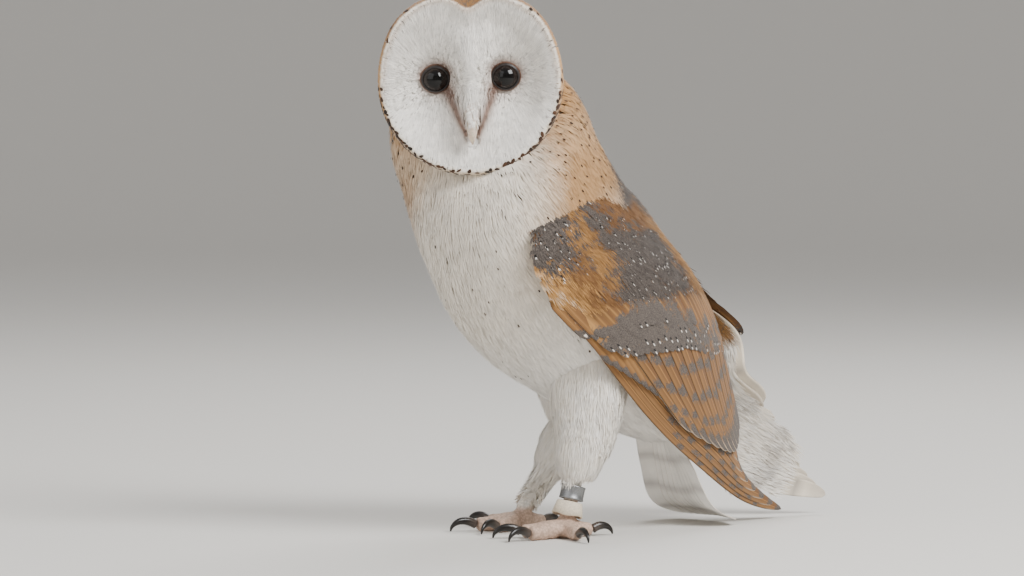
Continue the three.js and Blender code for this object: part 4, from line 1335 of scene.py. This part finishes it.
QUILL_THICK = 0.55
QUILL_FLOOR = 0.35  # the least height of the under layer over the floor
SHAFT_RIDGE = 0.3


def quill_plan(rows, shaft):
    """A closed vane: an upper and an under layer, joined round the edge, finer at the shaft."""
    places = np.concatenate([
        np.linspace(-1, shaft - 0.15, 4), shaft + np.array([-0.06, 0, 0.06]),
        np.linspace(shaft + 0.15, 1, 6),
    ])
    k, place = np.meshgrid(1 - (1 - np.linspace(0, 1, rows + 1)) ** 1.25, places, indexing="ij")
    wide = len(places)
    top = grid_faces(rows + 1, wide)
    count = k.size
    rim = np.concatenate([
        np.arange(wide - 1), np.arange(rows) * wide + wide - 1, count - 1 - np.arange(wide - 1),
        (rows - np.arange(rows)) * wide,
    ])
    after = np.roll(rim, -1)
    edge = np.stack([rim, rim + count, after + count, after], -1)
    faces = np.concatenate([top, top[:, ::-1] + count, edge])
    return SimpleNamespace(
        k=np.tile(k.ravel(), 2), place=np.tile(place.ravel(), 2), layer=np.repeat((1, 0), count),
        faces=faces, upper_face=len(faces) // 4,
    )


def quills(name, sheet, side, roots, tips, width, stack, paint, cell, *, bend=1.0, shaft=-0.3,
           camber=0.7, rows=44):
    """Long flight feathers. Each runs from its root to its tip over the sheet, (t, v) to (t, v),
    as wide as width allows, in two layers QUILL_THICK apart, stacked over its neighbour."""
    plan = quill_plan(rows, shaft)
    k, place, layer = plan.k[None], plan.place[None], plan.layer[None]
    roots, tips = np.asarray(roots, float), np.asarray(tips, float)
    n = len(roots)
    width, stack, bend = (np.broadcast_to(x, n)[:, None] for x in (width, stack, bend))
    t = lerp(roots[:, :1], tips[:, :1], k)
    v = lerp(roots[:, 1:], tips[:, 1:], k**bend)
    du, dv = slopes(sheet, t, v)
    full = np.maximum(rounded_end(k, 0.8, 2.4), 0.02) * lerp(0.5, 1, smooth(k, 0, 0.2))
    across = width / 2 * place * full
    arch = camber * (1 - (place - shaft) ** 2 / (1 + abs(shaft)) ** 2) * full
    stack = lerp(np.minimum(stack, -0.5), stack, smooth(k, 0.05, 0.38))
    ridge = SHAFT_RIDGE * bell(place, shaft, 0.07) * (1 - k)
    height = stack + arch + ridge * (layer * 2 - 1) - QUILL_THICK * (1 - layer)
    points = off(sheet, side, t, v + across / np.linalg.norm(dv, axis=-1), height)
    points[..., 2] = np.maximum(points[..., 2], QUILL_FLOOR + 0.25 * layer)
    length = np.linalg.norm(sheet(*tips.T) - sheet(*roots.T), axis=-1)[:, None]
    number = np.arange(n)[:, None]
    tint, grey = paint(length * (1 - k), across, place, layer, number)
    spread = cell[2] / n
    shade = 1 + rng.normal(0, 0.03, (n, 1, 1))
    maps = {
        "OFBake": np.stack([
            cell[0] + spread * (number + 0.25 + 0.4 * layer + 0.16 * place),
            cell[1] + cell[3] * (0.02 + 0.96 * np.broadcast_to(k, across.shape)),
        ], -1).reshape(-1, 2),
        "vane": np.stack([across - shaft * width / 2, length * (1 - k)], -1).reshape(-1, 2),
    }
    turned = np.cross(du, dv) * side
    return feather_piece(name, points, plan, turned, tint * shade, grey, 0.0, maps, vane_plumage)


FLIGHT_BARS = (27, 46, 66, 88, 110)  # millimetres from the tip
TAIL_BARS = (12, 30, 48)


def flight_paint(grey_mm, barred):
    """Gold with grey bars and a grey tip of this length inside a pale edge above, a light shaft
    and painted shade along both edges, where the feathers overlap; white below with smudged bars and
    a dusky tip."""
    def paint(from_tip, across, place, layer, number):
        bars = sum(bell(from_tip, far + 1.5 * (number % 3 - 1), 4.2) for far in FLIGHT_BARS)
        bars = bars * bell(place, -0.1, barred)
        tip = 1 - smooth(from_tip, 0.5 * grey_mm, 1.7 * grey_mm)
        edge = smooth(np.abs(place), 0.8, 0.93)
        upper = dye(dye(GOLD, BROWN, 0.2), BUFF, 0.35 * smooth(-place, 0.3, 0.9))
        upper = dye(upper, BUFF * 1.25, 0.55 * bell(place, -0.3, 0.05))
        # painted shade: both edges darkened up to the grey tip, for the shadow where one feather lies
        # over the next
        upper = dye(upper, DARK, 0.85 * edge * (1 - tip))
        pale = 0.9 * (1 - smooth(from_tip, 0.9, 1.9)) + 0.55 * edge * (1 - smooth(from_tip, 8, 16))
        upper = dye(upper, CREAM, np.clip(pale, 0, 1))
        smudge = np.clip(bars + 0.5 * (1 - smooth(from_tip, 6, 24)), 0, 1)
        under = dye(CREAM, GREY * 0.7, 0.6 * smudge)
        under = dye(under, BUFF, 0.8 * smooth(from_tip, 55, 85))
        tint = np.where((layer > 0)[..., None], upper, under)
        grey = np.clip(0.75 * bars + 0.95 * tip + 0.1, 0, 1) * (layer > 0) * (1 - edge)
        return tint, grey
    return paint


def ends(t, v):
    """The places (t, v) of one end of each feather in a row."""
    return np.stack(np.broadcast_arrays(t, v), -1)


def flight_feathers(word, wing, sheet, cells):
    """Secondaries over primaries, with the primary coverts and the alula over both."""
    side = WING_SIDES[wing["side"]]
    j = np.linspace(0, 1, 11)
    secondaries = quills(
        f"wing_{word}_secondaries_feathers", sheet, side, ends(0.40, lerp(0.17, 0.95, j)),
        ends(lerp(0.69, 0.80, np.sin(j * pi * 0.72)), lerp(0.24, 0.95, j**1.2)),
        lerp(13.5, 15, j), lerp(1.0, 2.6, j), flight_paint(14, 1.1), cells[0],
    )
    j = np.linspace(0, 1, 8)
    primaries = quills(
        f"wing_{word}_primaries_feathers", sheet, side, ends(0.42, lerp(0.28, 0.06, j)),
        ends(lerp(0.82, 0.985, j), lerp(0.88, 0.5, j)),
        lerp(15, 12, j), lerp(-0.2, -2.4, j), flight_paint(5, 3.0), cells[1], bend=lerp(1.3, 3.2, j),
    )
    j = np.linspace(0, 1, 7)
    coverts = quills(
        f"wing_{word}_primary_coverts", sheet, side, ends(0.40, lerp(0.19, 0.05, j)),
        ends(lerp(0.61, 0.53, j), lerp(0.19, 0.05, j)),
        9.5, lerp(0.5, 0.2, j), covert_paint, cells[2], rows=20,
    )
    alula = quills(
        f"wing_{word}_alula", sheet, side, [(0.33, 0.05), (0.34, 0.02)],
        [(0.48, 0.07), (0.465, 0.03)], 8, (1.7, 1.3), covert_paint, cells[3], rows=20,
    )
    return secondaries, primaries, coverts, alula


def covert_paint(from_tip, across, place, layer, number):
    """Gold with a grey tip, painted shade along the edges where the feathers overlap and, on the
    outer two, a white drop.
    """
    tip = 1 - smooth(from_tip, 5, 11)
    edge = smooth(np.abs(place), 0.84, 0.95)
    upper = dye(GOLD, BUFF, 0.4 * bell(place, -0.3, 0.3))
    # painted shade: the edges darkened up to the grey tip, where the feathers overlap
    upper = dye(upper, DARK, 0.6 * edge * (1 - tip))
    upper = dye(upper, CREAM, 0.45 * (1 - smooth(from_tip, 0.5, 1.3)))
    drop = bell(from_tip, 3.0, 1.1) * bell(across, 0, 1.0) * (number < 2)
    upper = dye(upper, WHITE, np.clip(1.5 * drop, 0, 1))
    tint = np.where((layer > 0)[..., None], upper, WHITE)
    return tint, np.clip(tip - 2 * drop, 0, 1) * (layer > 0)


def tail_paint(from_tip, across, place, layer, number):
    """Grey bars on gold, paler towards the outer feathers and their edges; white below."""
    bars = sum(bell(from_tip, far, 2.6) for far in TAIL_BARS)
    outer = np.abs(number - 5.5) / 5.5
    edge = smooth(np.abs(place), 0.85, 0.95)
    upper = dye(GOLD, CREAM, np.maximum(0.15 + 0.5 * outer**3, 0.5 * edge))
    under = dye(WHITE, GREY, 0.5 * np.clip(bars, 0, 1))
    tint = np.where((layer > 0)[..., None], upper, under)
    return tint, np.clip(bars, 0, 1) * (layer > 0) * (1 - 0.7 * outer) * (1 - edge)


def tail_feathers():
    """Twelve feathers in a fan, the middle ones on top."""
    place = (np.arange(12) - 5.5) / 5.5
    du, dv = slopes(tail_sheet, np.array([0.5]), np.array([0.0]))
    side = 1 if np.cross(du, dv)[0, 1] > 0 else -1
    return quills(
        "tail_feathers", tail_sheet, side, ends(0.06, 0.55 * place),
        ends(0.985 - 0.05 * np.abs(place) ** 2.5, 0.88 * place),
        12.5, 0.5 - 1.0 * np.abs(place), tail_paint, (0.0, 0.9, 0.3, 0.09), shaft=0.0, camber=0.12,
    )

# ---------------------------------------------------------------- dyed skin


BARE_ANKLES = (24.0, 15.0)  # heights under which the left and the right foot are bare


def skin(mesh, co):
    """The melted skin, dyed at each point as the nearest feather's root is."""
    roots = np.concatenate(markings["points"])
    tint = np.concatenate(markings["tint"])[nearest(co, roots)]
    ankle_z = np.where(co[:, 0] > 0, *BARE_ANKLES)
    tint = dye(tint, TOE_SKIN, 1 - smooth(co[:, 2], ankle_z - 4, ankle_z))
    add_values(mesh, "tint", tint)
    mesh.polygons.foreach_set("use_smooth", np.ones(len(mesh.polygons), bool))
    mesh.materials.clear()
    mesh.materials.append(skin_material())
    made = bpy.data.objects.new("skin", mesh)
    mesh.name = "skin"
    bpy.context.scene.collection.objects.link(made)
    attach(made, "root")
    return made

# ---------------------------------------------------------------- eyes, bill, claws, ring, cuff


def round_eye(side, x, y, forward):
    """Places given from the middle of an eyeball."""
    return on_face(side * EYE_PLACE[0] + x, EYE_PLACE[1] + y, EYE_PLACE[2] + forward)


def eye(side):
    """A ball with a clear bulge in front, where the cornea is."""
    t, a = ring_grid(36, 48, 0.012, 0.988)
    r = EYE_RADIUS + 0.35 * bell(t, 0, 0.22)
    x, y, f = r * np.sin(t * pi) * np.cos(a), r * np.sin(t * pi) * np.sin(a), r * np.cos(t * pi)
    points, quads, tris = outward(*sleeve(round_eye(side, x, y, f)))
    apart = points - round_eye(side, 0, 0, 0)
    beside = np.linalg.norm(apart - (apart @ facing)[:, None] * facing, axis=-1)
    tint = dye(srgb("#070606"), srgb("#1d1411"), bell(beside, 5.6, 1.2))
    made = mesh_piece("eyeball_left" if side > 0 else "eyeball_right", points, quads, eye_material,
                      tris=tris, paint={"tint": tint})
    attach(made, "root")
    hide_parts("eye_left" if side > 0 else "eye_right")


def lids(side):
    """The rim of the lids: a ring lying on the ball, a little wider than high, dark inside."""
    a, b = (np.linspace(0, tau, n, endpoint=False) for n in (64, 14))
    a, b = np.meshgrid(a, b, indexing="ij")
    r = LID_RADIUS + 0.5 * np.abs(np.cos(a)) ** 4
    sit = np.sqrt(np.maximum((EYE_RADIUS + 0.25) ** 2 - r**2, 0.1))
    wide = 1.0 + 0.25 * np.sin(a)
    x, y = ((r + wide * np.cos(b)) * turn(a) for turn in (np.cos, np.sin))
    f = sit + 0.9 * np.sin(b) - 0.7 * np.cos(b) * wide
    middle = round_eye(side, 0, 0, 0)
    rings = round_eye(side, x, y, f).reshape(-1, 3)
    points, quads, _ = hoop(rings - middle, 64, 14)
    tint = dye(srgb("#1b1310"), srgb("#6b4a38"), smooth(np.cos(b).ravel(), 0.2, 0.9))
    made = mesh_piece("lids_left" if side > 0 else "lids_right", points + middle, quads, lid_material,
                      paint={"tint": tint})
    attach(made, "root")


def bill():
    """Upper bill: an arched tube that narrows and hooks down; the lower one fills it from behind."""
    upper = [on_face(0, y, f) for y, f in zip(*BILL_LINE)][::-1]
    lower = [on_face(0, y, f) for y, f in ((-18, -2), (-23, 0.2), (-28.9, 1.4))]
    parts = [
        ("bill_upper_horn", tube(upper, BILL_ROUND[1][::-1], face_left, 36, 28, BILL_SQUEEZE),
         "bill_upper"),
        ("bill_lower_horn", tube(lower, (3.5, 3.1, 1.1), face_left, 18, 24, 0.9), "bill_lower"),
    ]
    for name, (points, quads, tris), node in parts:
        down = (on_face(0, 0, 0) - points) @ face_up
        tint = dye(srgb("#e0d2c6"), srgb("#e2cdb8"), smooth(down, 16, 27))
        tint = dye(tint, srgb("#a98a78"), smooth(down, 30, 32.5) * 0.7)
        made = mesh_piece(name, points, quads, bill_material, tris=tris, paint={"tint": tint})
        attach(made, "root")
        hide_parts(node)


def claw(word, leg, toe_name):
    """A claw: a flattened tube on an arc, from a blunt root to a point just over the floor."""
    bearing, length, _, _ = TOES[toe_name]
    bend = 8.4 if toe_name == "hind" else 10.5
    start, ahead = toe_line(leg, bearing, TOE_HEIGHT)
    root = start + ahead * (length + 1)
    i = np.linspace(0, 1, 7)
    a = CLAW_RISE - CLAW_ARC * i
    path = root + ahead * (bend * (sin(CLAW_RISE) - np.sin(a)))[:, None]
    path[:, 2] += bend * (np.cos(a) - cos(CLAW_RISE))
    path[:, 2] -= (path[-1, 2] - CLAW_CLEAR) * i**1.5
    points, quads, tris = tube(path, CLAW_GIRTH, np.cross((0, 0, 1), ahead), 28, 18, 0.86)
    points[:, 2] = np.maximum(points[:, 2], 0.02)
    tint = dye(srgb("#4a4039"), srgb("#17120f"), smooth((points - root) @ ahead, 0, 8))
    made = mesh_piece(f"claw_horn_{word}_{toe_name}", points, quads, claw_material, tris=tris,
                      paint={"tint": tint})
    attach(made, "root")
    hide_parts(f"claw_{word}_{toe_name}")


def hoop(points, around, sides):
    """The mesh of a closed ring of points, with its faces pointing out."""
    quads = grid_faces(around + 1, sides, closed=True) % (around * sides)
    return outward(points, quads, np.zeros((0, 3), int))


def band(name, profile, along, node, material, colour, warp=None):
    """A closed profile (radius, height) turned about the shank."""
    heel, ankle = (np.array(LEFT[end], float) for end in ("heel", "ankle"))
    axis = unit(heel - ankle)
    across = unit(np.cross((0, 1, 0), axis))
    front = np.cross(axis, across)
    a = np.linspace(0, tau, 72, endpoint=False)[:, None]
    r, h = np.array(profile, float).T[:, None]
    if warp:
        r, h = warp(a, r, h)
    centre = lerp(heel, ankle, along)
    points = centre + (r * np.cos(a))[..., None] * across + (r * np.sin(a))[..., None] * front
    points = (points + h[..., None] * axis).reshape(-1, 3)
    flat, quads, _ = hoop(points - centre, 72, len(profile))
    made = mesh_piece(name, flat + centre, quads, material,
                      paint={"tint": np.broadcast_to(srgb(colour), (len(flat), 3))})
    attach(made, "root")
    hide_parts(node)


def ring_and_cuff():
    """A flat metal ring with rolled edges, and below it a strap that flares to the foot."""
    i, w, h = RING["inner"], RING["wall"], RING["tall"] / 2
    band("ring_rolled", [
        (i, -h + 0.3), (i + 0.25, -h), (i + w - 0.2, -h), (i + w, -h + 0.25), (i + w, -h + 0.9),
        (i + w - 0.18, -h + 1.2), (i + w - 0.18, h - 1.2), (i + w, h - 0.9), (i + w, h - 0.25),
        (i + w - 0.2, h), (i + 0.25, h), (i, h - 0.3),
    ], RING["along"], "leg_ring", ring_material, "#8f9091")
    i, w, h, f = CUFF["inner"], CUFF["wall"], CUFF["tall"] / 2, CUFF["flare"]

    def flap(a, r, z):
        """One end of the strap lies over the other, and the lower edge waves."""
        over = 0.55 * smooth(np.sin(a - 2.2), 0.2, 0.9)
        wave = 0.45 * np.sin(3 * a + 0.7) * (z < 0)
        return r + over + 0.25 * np.sin(2 * a), z + wave

    band("cuff_strap", [
        (i + f, -h), (i + f + w * 0.5, -h - 0.1), (i + f + w, -h + 0.3), (i + f * 0.5 + w, 0),
        (i + w, h - 0.3), (i + w * 0.5, h), (i, h - 0.2), (i + f * 0.5, 0),
    ], CUFF["along"], "leg_cuff", cuff_material, "#d8cbb5", flap)

# ---------------------------------------------------------------- the owl


body_pieces = body_coats()
crown = skull_coats()
disc = face_coat()
ruff = ruff_coat()
for dots in dark_dots():
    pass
legs = [
    limb_coat("coat_leg_left", LEFT, (0, 0.7, 0.2, 0.18)),
    limb_coat("coat_leg_right", RIGHT, (0.22, 0.7, 0.2, 0.18)),
]
for word, wing, sheet, x in (
    ("left", LEFT_WING, left_sheet, 0.45), ("right", RIGHT_WING, right_sheet, 0.72),
):
    for coverts in covert_coats(word, wing, sheet, (x, 0.7, 0.25, 0.1)):
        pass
    lining = wing_lining(word, wing, sheet, (x, 0.55, 0.2, 0.1))
    secondaries, primaries, *over = flight_feathers(
        word, wing, sheet, [(x, 0.82 + 0.045 * i, 0.25, 0.04) for i in range(4)]
    )
    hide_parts(f"wing_{word}_secondaries")
    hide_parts(f"wing_{word}_primaries")
tail = tail_feathers()
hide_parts("tail")
whole_skin = skin(skin_mesh, skin_points)
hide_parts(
    "head", "neck", "trunk", "wing_left_coverts", "wing_right_coverts",
    *[f"{part}_{word}" for part in ("thigh", "leg", "foot") for word in ("left", "right")],
)
for side in (1, -1):
    eye(side)
    lids(side)
bill()
for word, leg in (("left", LEFT), ("right", RIGHT)):
    for toe_name in TOES:
        claw(word, leg, toe_name)
ring_and_cuff()

# ---------------------------------------------------------------- floor, light and camera


FLAT, CURVE = 3600.0, 2200.0  # radius of the level floor and of its upward curve
CAMERA_BEARING, CAMERA_RISE = 55, 3
CAMERA_METRES = 3.0
FIELD_METRES = 0.585  # how wide the camera sees at the owl
AIM_MM = (-18.9, 140.0)


def staged():
    """A wide pale matt floor that curves up all round, out of sight of every camera."""
    material, _, shader = finish_named("matt_pale_floor", 0.9)
    shader.inputs["Base Color"].default_value = rgba(srgb("#d9d6d0"))
    turn = np.linspace(0, 0.5 * pi, 13)[1:]
    reach = np.concatenate([(0.1, 1500.0, FLAT), FLAT + CURVE * np.sin(turn), (FLAT + CURVE,)])
    rise = np.concatenate([(0.0, 0.0, 0.0), CURVE * (1 - np.cos(turn)), (3600.0,)])
    a = np.linspace(0, tau, 96, endpoint=False)
    rings = np.broadcast_arrays(reach[:, None] * np.cos(a), reach[:, None] * np.sin(a), rise[:, None])
    points = np.stack(rings, -1).reshape(-1, 3)
    made = mesh_piece("floor", points - SHIFT, grid_faces(len(reach), 96, closed=True), material)


def direction(bearing, rise):
    """A direction from the owl: a bearing from its front to its left, and a rise, in degrees."""
    a, e = radians(bearing), radians(rise)
    return np.array((sin(a) * cos(e), -cos(a) * cos(e), sin(e)))


def stood(name, data, place, back):
    """A light or camera at a place, with its back, its own +Z, turned this way."""
    made = bpy.data.objects.new(name, data)
    made.location = place
    made.rotation_mode = "QUATERNION"
    made.rotation_quaternion = Vector(back).to_track_quat("Z", "Y")
    bpy.context.scene.collection.objects.link(made)
    return made


def lamp(name, bearing, rise, metres, size, watts, aim):
    """A square soft light that looks at the owl."""
    light = bpy.data.lights.new(name, "AREA")
    light.size, light.energy = size, watts
    away = direction(bearing, rise)
    stood(name, light, aim + away * metres, away)


def look():
    """Camera round to the owl's left and a little above level, with a long lens."""
    away = direction(CAMERA_BEARING, CAMERA_RISE)
    right = np.array((cos(radians(CAMERA_BEARING)), sin(radians(CAMERA_BEARING)), 0))
    up = np.cross(away, right)
    aim = (right * AIM_MM[0] + up * AIM_MM[1] + SHIFT) * MM
    camera = bpy.data.cameras.new("camera")
    camera.sensor_width = 36
    camera.lens = camera.sensor_width * CAMERA_METRES / FIELD_METRES
    bpy.context.scene.camera = stood("camera", camera, aim + away * CAMERA_METRES, away)
    return aim


staged()
aim = look()
lamp("key", 100, 40, 1.7, 0.8, 40, aim)
lamp("fill", 10, 25, 2.0, 1.6, 12, aim)
lamp("rim", 215, 50, 1.8, 0.9, 18, aim)
world = bpy.data.worlds.new("studio")
world.use_nodes = True
world.node_tree.nodes["Background"].inputs["Color"].default_value = (0.98, 0.98, 1.0, 1)
world.node_tree.nodes["Background"].inputs["Strength"].default_value = 0.6
bpy.context.scene.world = world
